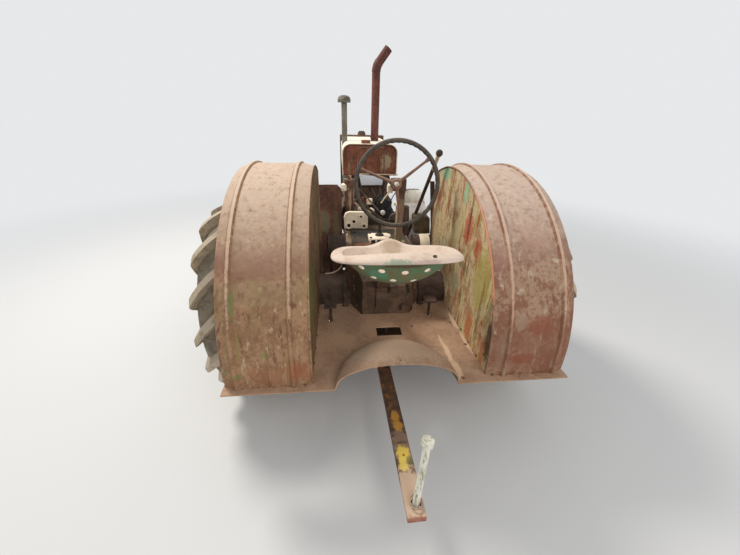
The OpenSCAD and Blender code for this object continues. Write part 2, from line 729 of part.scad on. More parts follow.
// Air cleaner on top of the engine with its tall capped stack
air_x = -190;
cleaner_x = -152;
cleaner_low = block_top + 25;
module air_cleaner() {
    top = hood_bottom - 20;
    color(dust) from_axle() {
        block([cleaner_x - 30, stack_y - 45, block_top], [cleaner_x + 30, stack_y + 20, cleaner_low + 10]);
        zcyl(cleaner_low, top, cleaner_x, stack_y, 60);
        ycyl(stack_y + 20, neck_y, cleaner_x, neck_z, 24);
        zcyl(top - 5, hood_bottom - 6, air_x, stack_y, stack_r + 2);
        zcyl(hood_bottom - 12, stack_top - 45, air_x, stack_y, stack_r);
        translate([air_x, stack_y, stack_top - 50]) rotate_extrude()
            polygon([[0, 0], [50, 0], [50, 20], [44, 36], [28, 46], [0, 50]]);
    }
}

// Exhaust: up from the head, then a curved tip
module exhaust_pipe() {
    bend = 100;
    turn = 38;
    color(rust) from_axle() {
        zcyl(block_top + 5, block_top + 105, exhaust_x, head_y + 40, exhaust_r - 4);
        rod([exhaust_x, head_y + 40, block_top + 75], [exhaust_x, stack_y, hood_bottom - 30], exhaust_r - 6);
        zcyl(hood_bottom - 60, exhaust_bend_z, exhaust_x, stack_y, exhaust_r);
        translate([exhaust_x + bend, stack_y, exhaust_bend_z - 10]) rotate([90, 0, 0]) rotate([0, 0, 180 - turn])
            rotate_extrude(angle = turn) translate([bend, 0]) circle(exhaust_r + 2);
        translate([exhaust_x + bend, stack_y, exhaust_bend_z - 10]) rotate([0, turn, 0])
            translate([-bend, 0, -12]) cylinder(h = 120, r = exhaust_r);
    }
}

// Hood: an open-bottomed sheet shell with round shoulders and pipe holes
module hood() {
    color(dust) from_axle() difference() {
        translate([0, radiator_y, 0]) rotate([90, 0, 0]) linear_extrude(radiator_y - hood_rear) difference() {
            hood_outline(0);
            hood_outline(sheet);
        }
        zcyl(hood_bottom - 100, hood_top + 100, exhaust_x, stack_y, exhaust_r + 6);
        zcyl(hood_bottom - 100, hood_top + 100, air_x, stack_y, stack_r + 5);
        zcyl(hood_bottom - 100, hood_top + 100, cap_x, cap_y, 29);
    }
}
module hood_outline(inset) {
    r = 62;
    half = hood_w / 2 - inset;
    drop = inset > 0 ? 1 : 0;
    translate([hood_x - half, hood_bottom - drop]) square([2 * half, hood_top - hood_bottom - r + drop]);
    translate([hood_x - half + r - inset, hood_bottom])
        square([2 * (half - r + inset), hood_top - inset - hood_bottom]);
    for (side = [-1, 1]) translate([hood_x + side * (hood_w / 2 - r), hood_top - r]) circle(r - inset);
}

// Fuel tank under the hood, its rear face set in from the hood's edge
cap_x = -40;
cap_y = hood_rear + 60;
module fuel_tank() {
    color(rust) from_axle() {
        translate([0, stack_y - 80, 0]) rotate([90, 0, 0]) linear_extrude(stack_y - 80 - hood_rear - 14)
            hood_outline(sheet + 0.3);
        zcyl(hood_top - 20, hood_top + 5, cap_x, cap_y, 25);
        zcyl(hood_top + 1, hood_top + 22, cap_x, cap_y, 33);
    }
}

module radiator() {
    half = hood_w / 2 + 10;
    color(iron) from_axle() translate([hood_x, 0, 0]) {
        block([-half, radiator_y, hood_top - 90], [half, radiator_y + radiator_t, hood_top + 12]);
        block([-half, radiator_y, radiator_bottom], [half, radiator_y + radiator_t, radiator_bottom + 90]);
        for (side = [-1, 1]) on_side(side)
            block([half - 35, radiator_y, radiator_bottom + 80], [half, radiator_y + radiator_t, hood_top - 80]);
        block([-half + 30, radiator_y + 20, radiator_bottom + 80],
            [half - 30, radiator_y + radiator_t - 20, hood_top - 80]);
        zcyl(hood_top + 12, hood_top + 36, 0, radiator_y + radiator_t / 2, 38);
    }
}

// Flywheel on the left end of the crankshaft
fly_x = -(case_half + 42);
module flywheel() {
    r = flywheel_r;
    w = flywheel_w;
    color(iron) from_axle() translate([fly_x, crank_y, crank_z]) rotate([0, -90, 0]) {
        rotate_extrude($fn = 96) polygon([[0, 20], [70, 20], [84, 46], [r - 55, 50], [r - 50, 0], [r, 0],
            [r, w], [r - 50, w], [r - 55, w - 34], [84, w - 30], [70, w], [0, w]]);
        translate([0, 0, fly_x]) cylinder(h = 40 - fly_x, r = crank_r);
    }
}

// Belt pulley on the right end of the crankshaft
pulley_x = case_half + 50;
module belt_pulley() {
    r = pulley_r;
    w = pulley_w;
    color(iron) from_axle() {
        translate([pulley_x, crank_y, crank_z]) rotate([0, 90, 0]) rotate_extrude($fn = 96) polygon([[0, 20],
            [r - 30, 20], [r - 20, 0], [r - 4, 0], [r, w / 2], [r - 4, w], [r - 20, w], [r - 30, w - 40],
            [60, w - 30], [52, w + 14], [0, w + 14]]);
        xcyl(1, pulley_x + 40, crank_y, crank_z, crank_r);
    }
}

// Sheet guard behind the flywheel, held to the case by two brackets
guard_y = crank_y - 350;
guard_top = 1085;
guard_outer = -410;
guard_inner = -228;
module flywheel_guard() {
    low = 420;
    r = 45;
    color(rust) from_axle() {
        front_plate(guard_y, guard_y + sheet, [[guard_outer, low], [guard_inner, low],
            [guard_inner, guard_top - r], [guard_outer, guard_top - r]]);
        front_plate(guard_y, guard_y + sheet, [[guard_outer, guard_top - r - 10],
            [guard_inner - r, guard_top - r - 10], [guard_inner - r, guard_top], [guard_outer, guard_top]]);
        ycyl(guard_y, guard_y + sheet, guard_inner - r, guard_top - r, r);
        block([guard_outer, guard_y, low], [guard_outer + sheet, guard_y + 60, guard_top]);
        for (z = [low + 60, case_top - 80]) block([guard_inner - 6, guard_y, z], [-case_half, guard_y + 40, z + 50]);
    }
}

// Flat bar that guards the belt pulley: upright at its foot, then leaning in to its top
bar_foot = 600;
bar_bend = 753;
bar_tip = 1110;
bar_out = 412;
bar_lean = 44;
module pulley_guard() {
    w = 30;
    color(rust) from_axle() {
        front_plate(guard_y, guard_y + 8, [[bar_out - bar_lean, bar_tip], [bar_out - bar_lean + w, bar_tip],
            [bar_out + w, bar_bend], [bar_out + w, bar_foot], [bar_out, bar_foot], [bar_out, bar_bend]]);
        block([case_half, guard_y, bar_foot], [bar_out + 10, guard_y + 30, bar_foot + 30]);
    }
}

// Drawbar under the case, turned a little to one side, with the hitch hole and a small one ahead of it
bar_x = -10;
bar_skew = 1.5;
function bar_centre(y) = bar_x - (y + drawbar_rear) * tan(bar_skew);
hitch_at = [bar_centre(42 - drawbar_rear) + 4, 42 - drawbar_rear];
chain_y = -936;
chain_r = 5;
module drawbar() {
    color(dust) from_axle() difference() {
        translate([bar_x, -drawbar_rear, drawbar_z - drawbar_t]) rotate([0, 0, bar_skew])
            translate([-drawbar_w / 2, 0, 0]) cube([drawbar_w, drawbar_rear + 260, drawbar_t]);
        zcyl(drawbar_z - 50, drawbar_z + 10, hitch_at[0], hitch_at[1], hitch_hole_r);
        zcyl(drawbar_z - 50, drawbar_z + 10, bar_centre(chain_y), chain_y, chain_r);
    }
}

// The bolt leans forward and to the right, held by a nut under the bar
module hitch_pin() {
    color(steel) from_axle() translate([hitch_at[0], hitch_at[1], drawbar_z - drawbar_t / 2]) rotate([-10.5, 0, 0])
        rotate([0, 6, 0]) {
            translate([0, 0, -45]) cylinder(h = 325, r = 12.5);
            translate([0, 0, 262]) cylinder(h = 18, r = 23, $fn = 6);
            translate([0, 0, -drawbar_t / 2 - 20]) cylinder(h = 14, r = 22, $fn = 6);
        }
}

main_case();
axle_housings();
platform();
fender_left();
fender_right();
seat();
seat_spring();
steering_post();
steering_wheel();
steering_gearbox();
brakes();
clutch_lever();
transmission_cover();
cylinder_block();
cylinder_head();
crankcase_cover();
oil_filter();
magneto();
governor();
air_cleaner();
exhaust_pipe();
fuel_tank();
hood();
radiator();
fan();
flywheel();
belt_pulley();
flywheel_guard();
pulley_guard();
drawbar();
hitch_pin();
front_axle();
knuckle_left();
knuckle_right();
pitman_arm();
drag_link();
tie_rod();
rear_tyre_left();
rear_tyre_right();
rear_wheel_left();
rear_wheel_right();
front_tyre_left();
front_tyre_right();
front_wheel_left();
front_wheel_right();
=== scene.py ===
# %% [markdown]
# # A weathered vintage tractor, dressed over its solid model
# The solids are the fixed frame: they give every place and size. This lesson gives them rust, dust, rubber and
# old paint, and adds the sheet metal, tread and small fittings that the plain solids leave out.
# All places are in millimetres from the rear axle, as on the drawings, and `at()` turns them into metres.

# %% Load the frame
import bpy
import bmesh
from math import acos, asin, atan2, cos, hypot, pi, radians, sin, sqrt
from mathutils import Vector, Matrix


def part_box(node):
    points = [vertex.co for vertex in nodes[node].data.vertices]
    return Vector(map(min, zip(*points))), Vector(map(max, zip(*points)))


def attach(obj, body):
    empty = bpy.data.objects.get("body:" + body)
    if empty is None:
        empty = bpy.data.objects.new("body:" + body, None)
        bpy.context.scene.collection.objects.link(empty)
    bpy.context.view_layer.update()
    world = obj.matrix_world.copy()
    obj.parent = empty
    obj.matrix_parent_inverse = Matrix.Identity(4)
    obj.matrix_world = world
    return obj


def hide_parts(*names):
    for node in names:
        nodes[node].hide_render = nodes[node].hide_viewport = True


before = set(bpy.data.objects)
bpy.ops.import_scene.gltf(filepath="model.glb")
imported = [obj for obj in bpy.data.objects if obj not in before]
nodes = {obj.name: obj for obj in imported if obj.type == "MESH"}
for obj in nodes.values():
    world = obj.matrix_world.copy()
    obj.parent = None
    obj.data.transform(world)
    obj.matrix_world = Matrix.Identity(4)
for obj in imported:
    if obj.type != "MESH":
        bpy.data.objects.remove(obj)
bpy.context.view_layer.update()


def node_centre(name):
    low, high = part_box(name)
    return (low + high) / 2


axle_y, axle_z = node_centre("rear_tyre_left").yz
axle_high = axle_z * 1000


def at(x, y, z):
    """Millimetres from the rear axle, right, forward and up, as a point in metres."""
    return Vector((x / 1000, y / 1000 + axle_y, z / 1000))


print("rear axle at", round(axle_y, 4), round(axle_z, 4))

# %% [markdown]
# ## Camera
# The photo looks down on the tractor's back from just behind the drawbar, through a wide lens. The angles were
# solved from the platform's edges, the fenders and the lug tips, so the same pixel meets the same piece here.

# %% Camera
def placed(name, data):
    """Puts data in the scene as one object."""
    thing = bpy.data.objects.new(name, data)
    bpy.context.scene.collection.objects.link(thing)
    return thing


photo_w, photo_h, focal = 740, 555, 313.9
eye = Vector((-0.243, -1.695 + axle_y, 1.490))
yaw, pitch, roll = map(radians, (5.89, 27.17, 1.40))
ahead = Vector((sin(yaw) * cos(pitch), cos(yaw) * cos(pitch), -sin(pitch)))
level = Vector((cos(yaw), -sin(yaw), 0))
above = level.cross(ahead)
right = level * cos(roll) + above * sin(roll)
up = above * cos(roll) - level * sin(roll)
lens = bpy.data.cameras.new("camera")
lens.sensor_width = 36
lens.lens = lens.sensor_width * focal / photo_w
camera = placed("camera", lens)
camera.matrix_world = Matrix.Translation(eye) @ Matrix((right, up, -ahead)).transposed().to_4x4()
bpy.context.scene.camera = camera
bpy.context.scene.view_settings.view_transform = "Standard"


def seen_through(u, v):
    """The direction from the camera through a pixel of the photo's frame."""
    return (ahead + right * (u - photo_w / 2) / focal - up * (v - photo_h / 2) / focal).normalized()


print("lens", round(lens.lens, 2), "mm")

# %% [markdown]
# ## Floor and light
# A plain pale floor and large soft lamps. One wide lamp stands for the bright side of the sky, high on the left
# and ahead, and a weaker one behind the camera opens the shadows under the seat. Where the camera looks far out,
# the floor fades into the pale colour that it also sees in the sky. Node trees take many lines in Python, so one
# small class writes the calls that floor, sky and finishes share.

# %% Short calls for shader nodes
class Wires:
    """Adds nodes to one tree. Values are numbers, colours or the outputs of other nodes."""

    def __init__(self, tree):
        self.tree = tree

    def put(self, socket, value):
        if isinstance(value, bpy.types.NodeSocket):
            self.tree.links.new(value, socket)
        else:
            socket.default_value = value

    def node(self, kind, values, **settings):
        node = self.tree.nodes.new("ShaderNode" + kind)
        for label, setting in settings.items():
            setattr(node, label, setting)
        for label, value in values.items():
            self.put(node.inputs[label], value)
        return node

    def math(self, operation, *values, clamp=False):
        return self.node("Math", dict(enumerate(values)), operation=operation, use_clamp=clamp).outputs[0]

    def add(self, first, second, clamp=False):
        return self.math("ADD", first, second, clamp=clamp)

    def less(self, first, second):
        return self.math("SUBTRACT", first, second)

    def times(self, first, second, clamp=False):
        return self.math("MULTIPLY", first, second, clamp=clamp)

    def vector(self, operation, *values):
        node = self.node("VectorMath", dict(enumerate(values)), operation=operation)
        return node.outputs["Value" if operation == "LENGTH" else "Vector"]

    def noise(self, vector, scale, detail, rough):
        values = {"Vector": vector, "Scale": scale, "Detail": detail, "Roughness": rough}
        return self.node("TexNoise", values).outputs[0]

    def ramp(self, value, low, high):
        values = {"Value": value, "From Min": low, "From Max": high}
        return self.node("MapRange", values, interpolation_type="SMOOTHSTEP").outputs[0]

    def mix(self, factor, first, second, blend="MIX"):
        return self.node("Mix", {0: factor, 6: first, 7: second}, data_type="RGBA", blend_type=blend).outputs[2]

    def mix_shader(self, factor, first, second):
        return self.node("MixShader", {0: factor, 1: first.outputs[0], 2: second.outputs[0]}).outputs[0]

    def place(self):
        return self.node("TexCoord", {}).outputs["Object"]

    def camera_ray(self):
        return self.node("LightPath", {}).outputs["Is Camera Ray"]


print("calls for nodes", [name for name in vars(Wires) if name[0] != "_"])

# %% Floor
pale_far = (0.80, 0.81, 0.82, 1)
fade_from, fade_to = 1.9, 6.5
floor_size = 30
floor_material = bpy.data.materials.new("pale_floor")
floor_material.use_nodes = True
wires = Wires(floor_material.node_tree)
floor_nodes = floor_material.node_tree.nodes
floor_shader = floor_nodes["Principled BSDF"]
wires.put(floor_shader.inputs["Base Color"], (0.66, 0.66, 0.65, 1))
wires.put(floor_shader.inputs["Roughness"], 0.85)
haze = wires.node("Emission", {"Color": pale_far})
fade = wires.ramp(wires.vector("LENGTH", wires.place()), fade_from, fade_to)
blend = wires.mix_shader(wires.times(fade, wires.camera_ray()), floor_shader, haze)
wires.put(floor_nodes["Material Output"].inputs["Surface"], blend)
floor_mesh = bpy.data.meshes.new("floor")
corners = [(x * floor_size, y * floor_size, 0) for x, y in ((-1, -1), (1, -1), (1, 1), (-1, 1))]
floor_mesh.from_pydata(corners, [], [(0, 1, 2, 3)])
floor_mesh.materials.append(floor_material)
floor = placed("floor", floor_mesh)
print("floor fades from", fade_from, "to", fade_to, "m")

# %% Sky and lamps
world = bpy.data.worlds.new("soft_sky")
bpy.context.scene.world = world
world.use_nodes = True
wires = Wires(world.node_tree)
sky = world.node_tree.nodes["Background"]
wires.put(sky.inputs["Color"], (0.90, 0.93, 0.98, 1))
wires.put(sky.inputs["Strength"], 0.62)
seen_sky = wires.node("Background", {"Color": pale_far, "Strength": 1.0})
sky_mix = wires.mix_shader(wires.camera_ray(), sky, seen_sky)
wires.put(world.node_tree.nodes["World Output"].inputs["Surface"], sky_mix)


def lamp(name, place, target, size, watts, colour):
    light = bpy.data.lights.new(name, "AREA")
    light.shape, light.size, light.energy, light.color = "DISK", size, watts, colour
    thing = placed(name, light)
    thing.location = place
    thing.rotation_mode = "QUATERNION"
    thing.rotation_quaternion = (Vector(target) - Vector(place)).to_track_quat("-Z", "Y")


lamp("key_light", (-2.7, 1.3, 5.0), (0, -0.2, 0.7), 1.6, 235, (1.0, 0.955, 0.89))
lamp("back_light", (1.8, -4.6, 3.4), (0, 0, 0.7), 3.5, 95, (1.0, 0.95, 0.88))
print("lamps", len(bpy.data.lights))

# %% [markdown]
# ## Shader groups
# Rust, dust and old paint are the same few effects with other colours and sizes, so each effect is one node
# group with named inputs. `weathered` mixes three colours by noise, `streaked` runs stains down a sheet,
# `dusted` lays dust on what faces up, and `spot` paints one patch at a place: most spots are stains, and a few
# are painted highlights and painted shade.

# %% Helpers for groups
socket_kinds = {label: "Color" for label in ("Main", "Second", "Fleck", "Colour", "Stain", "Dust", "Paint")}
socket_kinds.update({"Centre": "Vector", "Reach": "Vector"})


def new_group(name, inputs, outputs=("Colour",)):
    """A node group with labelled sockets: its tree, the calls that fill it, what it is given and what it returns."""
    group = bpy.data.node_groups.new(name, "ShaderNodeTree")
    for way, labels in (("INPUT", inputs), ("OUTPUT", outputs)):
        for label in labels:
            kind = "NodeSocket" + socket_kinds.get(label, "Float")
            group.interface.new_socket(label, in_out=way, socket_type=kind)
    return group, Wires(group), group.nodes.new("NodeGroupInput").outputs, group.nodes.new("NodeGroupOutput").inputs


def edge_ramp(wires, pattern, middle, share, weight, below, above):
    """A mask that covers more of the pattern as its share grows."""
    edge = wires.less(middle, wires.times(share, weight))
    return wires.ramp(pattern, wires.less(edge, below) if below else edge, wires.add(edge, above))


# %% Weathered layer
weathered, wires, given, result = new_group(
    "weathered", ["Main", "Second", "Fleck", "Patch size", "Second share", "Fleck share"],
    ["Colour", "Height", "Roughness"])
place = wires.place()
per_metre = wires.math("DIVIDE", 1.0, given["Patch size"])
large = wires.noise(place, per_metre, 5, 0.62)
middle = wires.noise(place, wires.times(per_metre, 4.3), 6, 0.68)
fine = wires.noise(place, wires.times(per_metre, 26.0), 4, 0.7)
both = wires.add(wires.times(large, 0.55), wires.times(middle, 0.45))
speck = wires.add(wires.times(fine, 0.6), wires.times(middle, 0.4))
second_mask = edge_ramp(wires, both, 0.72, given["Second share"], 0.44, 0.06, 0.06)
fleck_mask = edge_ramp(wires, speck, 0.74, given["Fleck share"], 0.36, 0, 0.05)
colour = wires.mix(second_mask, given["Main"], given["Second"])
colour = wires.mix(fleck_mask, colour, given["Fleck"])
shade = wires.add(0.72, wires.times(wires.add(fine, middle), 0.28))
grey = wires.node("CombineColor", {0: shade, 1: shade, 2: shade}).outputs[0]
wires.put(result["Colour"], wires.mix(1.0, colour, grey, "MULTIPLY"))
wires.put(result["Height"], speck)
wires.put(result["Roughness"], wires.add(0.62, wires.times(middle, 0.4)))
print("nodes in the weathered layer", len(weathered.nodes))

# %% Streaks, dust and spots
streaked, wires, given, result = new_group("streaked", ["Colour", "Stain", "Width", "Share"])
long_place = wires.vector("MULTIPLY", wires.place(), (1.0, 1.0, 0.16))
stripes = wires.noise(long_place, wires.math("DIVIDE", 1.0, given["Width"]), 5, 0.65)
stain = edge_ramp(wires, stripes, 0.72, given["Share"], 0.44, 0.05, 0.07)
wires.put(result["Colour"], wires.mix(stain, given["Colour"], given["Stain"]))

dusted, wires, given, result = new_group("dusted", ["Colour", "Dust", "Amount"])
facing_up = wires.node("SeparateXYZ", {0: wires.node("NewGeometry", {}).outputs["Normal"]}).outputs["Z"]
grain = wires.noise(wires.place(), 34.0, 6, 0.7)
settled = wires.times(wires.ramp(facing_up, 0.45, 1.0), wires.ramp(grain, 0.2, 0.52))
settled = wires.times(settled, given["Amount"], clamp=True)
wires.put(result["Colour"], wires.mix(settled, given["Colour"], given["Dust"]))

spot, wires, given, result = new_group("spot", ["Colour", "Paint", "Centre", "Reach", "Strength"])
off = wires.vector("SUBTRACT", wires.place(), given["Centre"])
off = wires.vector("LENGTH", wires.vector("DIVIDE", off, given["Reach"]))
ragged = wires.times(wires.less(wires.noise(wires.place(), 60.0, 6, 0.7), 0.5), 1.6)
mask = wires.less(1.0, wires.ramp(wires.add(off, ragged), 0.65, 1.1))
mask = wires.times(mask, given["Strength"], clamp=True)
wires.put(result["Colour"], wires.mix(mask, given["Colour"], given["Paint"]))
print("shader groups", [group.name for group in bpy.data.node_groups])

# %% [markdown]
# ## Finishes
# Each finish is one weathered layer with its stains, dust and spots in order. Colours are written as they look
# on the screen, from 0 to 255, and turned into linear light here. Places and reaches of spots are in millimetres.

# %% Finish maker
finishes = {}


def tone(red, green, blue):
    parts = [c / 255 for c in (red, green, blue)]
    return tuple([c / 12.92 if c <= 0.04045 else ((c + 0.055) / 1.055) ** 2.4 for c in parts] + [1.0])


def wears(node, name):
    node.data.materials.clear()
    node.data.materials.append(finishes[name])


def finish(name, main, second, fleck, size, second_share=0.5, fleck_share=0.3, bump=0.001, on=(), metal=0.0,
           rough_add=0.0, stains=(), dust=None, spots=()):
    """A material, worn by the solids in on. Stains: colour, width, share. Spots: colour, centre, reach, strength."""
    material = finishes[name] = bpy.data.materials.new(name)
    material.use_nodes = True
    wires = Wires(material.node_tree)
    shader = material.node_tree.nodes["Principled BSDF"]

    def layer(group, values):
        return wires.node("Group", values, node_tree=group).outputs

    base = layer(weathered, {"Main": tone(*main), "Second": tone(*second), "Fleck": tone(*fleck), "Patch size": size,
                             "Second share": second_share, "Fleck share": fleck_share})
    colour = base["Colour"]
    for stain, width, share in stains:
        values = {"Colour": colour, "Stain": tone(*stain), "Width": width, "Share": share}
        colour = layer(streaked, values)[0]
    for paint, centre, reach, strength in spots:
        values = {"Colour": colour, "Paint": tone(*paint), "Centre": at(*centre), "Reach": [r / 1000 for r in reach],
                  "Strength": strength}
        colour = layer(spot, values)[0]
    if dust:
        colour = layer(dusted, {"Colour": colour, "Dust": tone(*dust[0]), "Amount": dust[1]})[0]
    relief = wires.node("Bump", {"Distance": bump, "Strength": 1.0, "Height": base["Height"]})
    for label, value in (("Base Color", colour), ("Metallic", metal), ("Normal", relief.outputs[0]),
                         ("Roughness", wires.add(base["Roughness"], rough_add, clamp=True))):
        wires.put(shader.inputs[label], value)
    for node in on:
        wears(nodes[node], name)


print("grey 128 as linear light", round(tone(128, 128, 128)[0], 3))

# %% Finishes of the sheet metal
finish("fender_left_tan", (160, 124, 92), (138, 103, 73), (100, 62, 42), 0.07, 0.5, 0.5, on=["fender_left"],
    dust=((207, 184, 163), 0.8),
    stains=[((112, 74, 54), 0.022, 0.3), ((146, 122, 80), 0.10, 0.2), ((180, 154, 124), 0.016, 0.24)],
    spots=[((132, 88, 66), (-560, -580, 980), (240, 110, 60), 0.6),
    # The pale bands at x -442 and -668 are painted highlights on the rib ridges, fading out lower down.
    ((150, 128, 96), (-560, -650, 890), (220, 60, 50), 0.4), ((206, 176, 146), (-442, 0, 1250), (8, 3000, 520), 0.7),
    ((206, 176, 146), (-668, 0, 1250), (8, 3000, 520), 0.7), ((186, 154, 122), (-377, 0, 1250), (5, 3000, 500), 0.3),
    ((128, 76, 56), (-700, -562, 1007), (30, 60, 60), 0.6), ((108, 116, 64), (-655, -656, 850), (12, 80, 62), 0.65),
    ((140, 88, 58), (-520, -720, 560), (190, 70, 50), 0.5), ((150, 84, 52), (-430, -733, 590), (50, 60, 50), 0.45),
    ((140, 126, 72), (-640, -718, 690), (8, 60, 90), 0.6), ((112, 124, 66), (-656, -735, 571), (20, 30, 14), 0.7),
    ((112, 122, 68), (-706, -735, 578), (12, 30, 14), 0.7), ((128, 124, 66), (-545, -725, 660), (18, 30, 22), 0.55),
    # The two near-black dots are painted shade for holes in the crown, which is not cut.
    ((30, 24, 20), (-682, -127, 1257), (8, 14, 9), 1.0), ((30, 24, 20), (-694, -205, 1239), (8, 14, 9), 1.0)])
finish("fender_right_rust", (158, 128, 103), (130, 89, 67), (106, 56, 38), 0.07, 0.52, 0.45, 0.0011,
    on=["fender_right"], dust=((206, 186, 169), 0.75),
    stains=[((124, 80, 60), 0.035, 0.34), ((182, 160, 138), 0.03, 0.24)],
    # The pale bands at x 442 and 668 are rubbed paint and painted highlights on the rib ridges.
    spots=[((208, 168, 142), (442, 0, 1150), (7, 3000, 560), 0.6),
    ((208, 168, 142), (668, 0, 1150), (7, 3000, 560), 0.6), ((122, 74, 52), (560, -720, 640), (260, 90, 150), 0.6),
    ((148, 100, 80), (565, -510, 1060), (70, 90, 80), 0.5), ((134, 90, 78), (408, -586, 960), (30, 60, 110), 0.5),
    ((128, 66, 42), (513, -733, 590), (60, 50, 30), 0.7), ((132, 74, 50), (573, -702, 740), (60, 50, 50), 0.6),
    ((154, 130, 108), (485, -701, 756), (30, 50, 40), 0.6), ((140, 112, 90), (414, -728, 641), (26, 50, 90), 0.5),
    # The two near-black dots are painted shade for holes in the crown, which is not cut.
    ((128, 84, 62), (720, -640, 850), (30, 120, 150), 0.5), ((30, 24, 20), (515, -188, 1244), (8, 12, 9), 1.0),
    ((30, 24, 20), (652, -20, 1268), (8, 12, 9), 1.0)])
finish("panel_green_rust", (206, 184, 144), (172, 134, 92), (150, 88, 52), 0.07, 0.46, 0.42, 0.0014,
    stains=[((204, 192, 138), 0.045, 0.34), ((160, 150, 88), 0.04, 0.24), ((168, 84, 44), 0.03, 0.29),
    ((84, 58, 40), 0.016, 0.25)],
    spots=[((136, 190, 150), (375, 128, 1215), (20, 90, 46), 0.75),
    ((148, 196, 156), (375, -206, 1180), (20, 34, 66), 0.75), ((176, 90, 50), (375, 213, 1040), (20, 40, 70), 0.5),
    ((84, 60, 40), (375, 16, 1070), (20, 12, 120), 0.6), ((182, 64, 24), (375, -299, 1020), (20, 60, 90), 0.75),
    ((176, 66, 28), (375, -437, 970), (20, 40, 70), 0.6), ((84, 50, 30), (375, -300, 1060), (20, 14, 130), 0.7),
    ((170, 156, 72), (375, -520, 850), (20, 100, 160), 0.65), ((190, 172, 118), (375, -120, 900), (20, 80, 130), 0.3),
    ((150, 156, 116), (375, -240, 700), (20, 60, 70), 0.6), ((112, 100, 62), (375, -300, 830), (20, 90, 26), 0.6),
    ((190, 104, 54), (375, -480, 590), (20, 40, 80), 0.7), ((184, 106, 58), (375, -655, 560), (20, 30, 90), 0.7),
    # The two dark marks at y -560 and -690 are painted shade in the fold near the panel's lower rear edge.
    ((96, 74, 46), (375, -560, 720), (20, 14, 180), 0.5), ((72, 54, 36), (375, -690, 660), (20, 34, 110), 0.8)])
finish("edge_orange", (140, 106, 84), (116, 84, 64), (96, 64, 48), 0.07, 0.45, 0.3, 0.0006, dust=((196, 170, 148), 0.6),
    spots=[((208, 134, 96), (375, -470, 1000), (20, 330, 300), 0.8)])
finish("panel_left_dark", (128, 98, 66), (100, 74, 50), (84, 60, 40), 0.14, stains=[((140, 132, 84), 0.04, 0.3)],
    spots=[((96, 106, 48), (-373, -530, 830), (20, 150, 170), 0.75)])
finish("platform_brown", (172, 138, 110), (148, 114, 88), (104, 76, 56), 0.09, 0.46, 0.36, 0.0008,
    dust=((176, 146, 120), 0.3),
    # The pale spot over the dome is dusty, worn paint and a painted highlight.
    spots=[((198, 172, 148), (-18, -650, 590), (250, 120, 100), 0.7),
    ((158, 112, 80), (120, -420, 504), (80, 90, 20), 0.4), ((226, 198, 160), (258, -690, 504), (20, 70, 20), 0.85),
    ((224, 196, 158), (250, -580, 504), (14, 80, 20), 0.8), ((210, 182, 146), (244, -490, 504), (8, 60, 20), 0.75),
    ((230, 206, 172), (362, -320, 504), (13, 90, 20), 0.8), ((228, 202, 168), (366, -500, 504), (12, 90, 20), 0.8),
    # The dark patch at x -210 is the left fender's painted shadow on the floor; the near-black dots are painted shade
    # for holes that are not cut.
    ((116, 84, 66), (-210, -300, 504), (90, 110, 20), 0.4), ((40, 30, 24), (124, -358, 504), (8, 12, 8), 1.0),
    ((40, 30, 24), (341, -336, 504), (7, 10, 8), 1.0), ((40, 30, 24), (357, -521, 504), (6, 10, 8), 1.0),
    ((96, 52, 36), (265, -740, 504), (10, 12, 8), 0.9)])
finish("dome_green", (112, 112, 78), (88, 78, 56), (128, 92, 62), 0.08, 0.5, 0.3, 0.0008)
print("sheet metal finishes", list(finishes))

# %% Finishes of castings, steel and rubber
finish("case_brown", (112, 88, 70), (82, 64, 50), (132, 104, 80), 0.12, 0.45, 0.3, 0.0014,
    on=["main_case", "seat_spring"], dust=((150, 126, 102), 0.4), stains=[((66, 66, 48), 0.05, 0.22)],
    spots=[((60, 66, 46), (-170, -200, 620), (50, 60, 160), 0.6)])
finish("housing_brown", (92, 74, 62), (68, 54, 46), (120, 94, 76), 0.10, 0.5, 0.3, 0.0012,
    on=["axle_housings", "steering_gearbox", "front_axle", "knuckle_left", "knuckle_right"],
    dust=((136, 112, 94), 0.45))
finish("cover_brown", (80, 64, 50), (56, 50, 40), (108, 86, 68), 0.10, 0.5, 0.3, 0.0014,
    on=["transmission_cover", "crankcase_cover"], dust=((104, 86, 70), 0.15),
    # The near-black spot is a painted shadow band across the transmission cover.
    spots=[((20, 22, 18), (-60, 380, 800), (230, 150, 70), 1.0)])
finish("pedal_brown", (84, 64, 52), (60, 48, 42), (118, 90, 70), 0.06, on=["brakes"])
finish("casting_cream", (255, 240, 214), (232, 204, 172), (104, 76, 56), 0.05, 0.35, 0.3, 0.0014,
    dust=((244, 226, 200), 0.6))
finish("engine_brown", (104, 80, 64), (76, 58, 46), (150, 120, 96), 0.08, 0.5, 0.3, 0.0014,
    on=["cylinder_block", "cylinder_head", "governor", "flywheel", "radiator"], dust=((150, 126, 102), 0.25))
finish("filter_brown", (120, 86, 68), (88, 64, 52), (178, 146, 116), 0.06, 0.45, 0.3, 0.0012, on=["oil_filter"],
    stains=[((196, 164, 132), 0.03, 0.3)])
finish("hood_cream", (236, 222, 198), (200, 174, 146), (140, 100, 76), 0.14, 0.33, 0.24, 0.0008, on=["hood"],
    dust=((238, 228, 210), 0.6), stains=[((156, 120, 92), 0.06, 0.2)])
finish("tank_rust", (136, 80, 54), (98, 56, 40), (166, 118, 86), 0.07, 0.5, 0.36, on=["fuel_tank"],
    stains=[((140, 108, 80), 0.04, 0.26)], spots=[((172, 156, 122), (112, 765, 1190), (40, 20, 60), 0.7)])
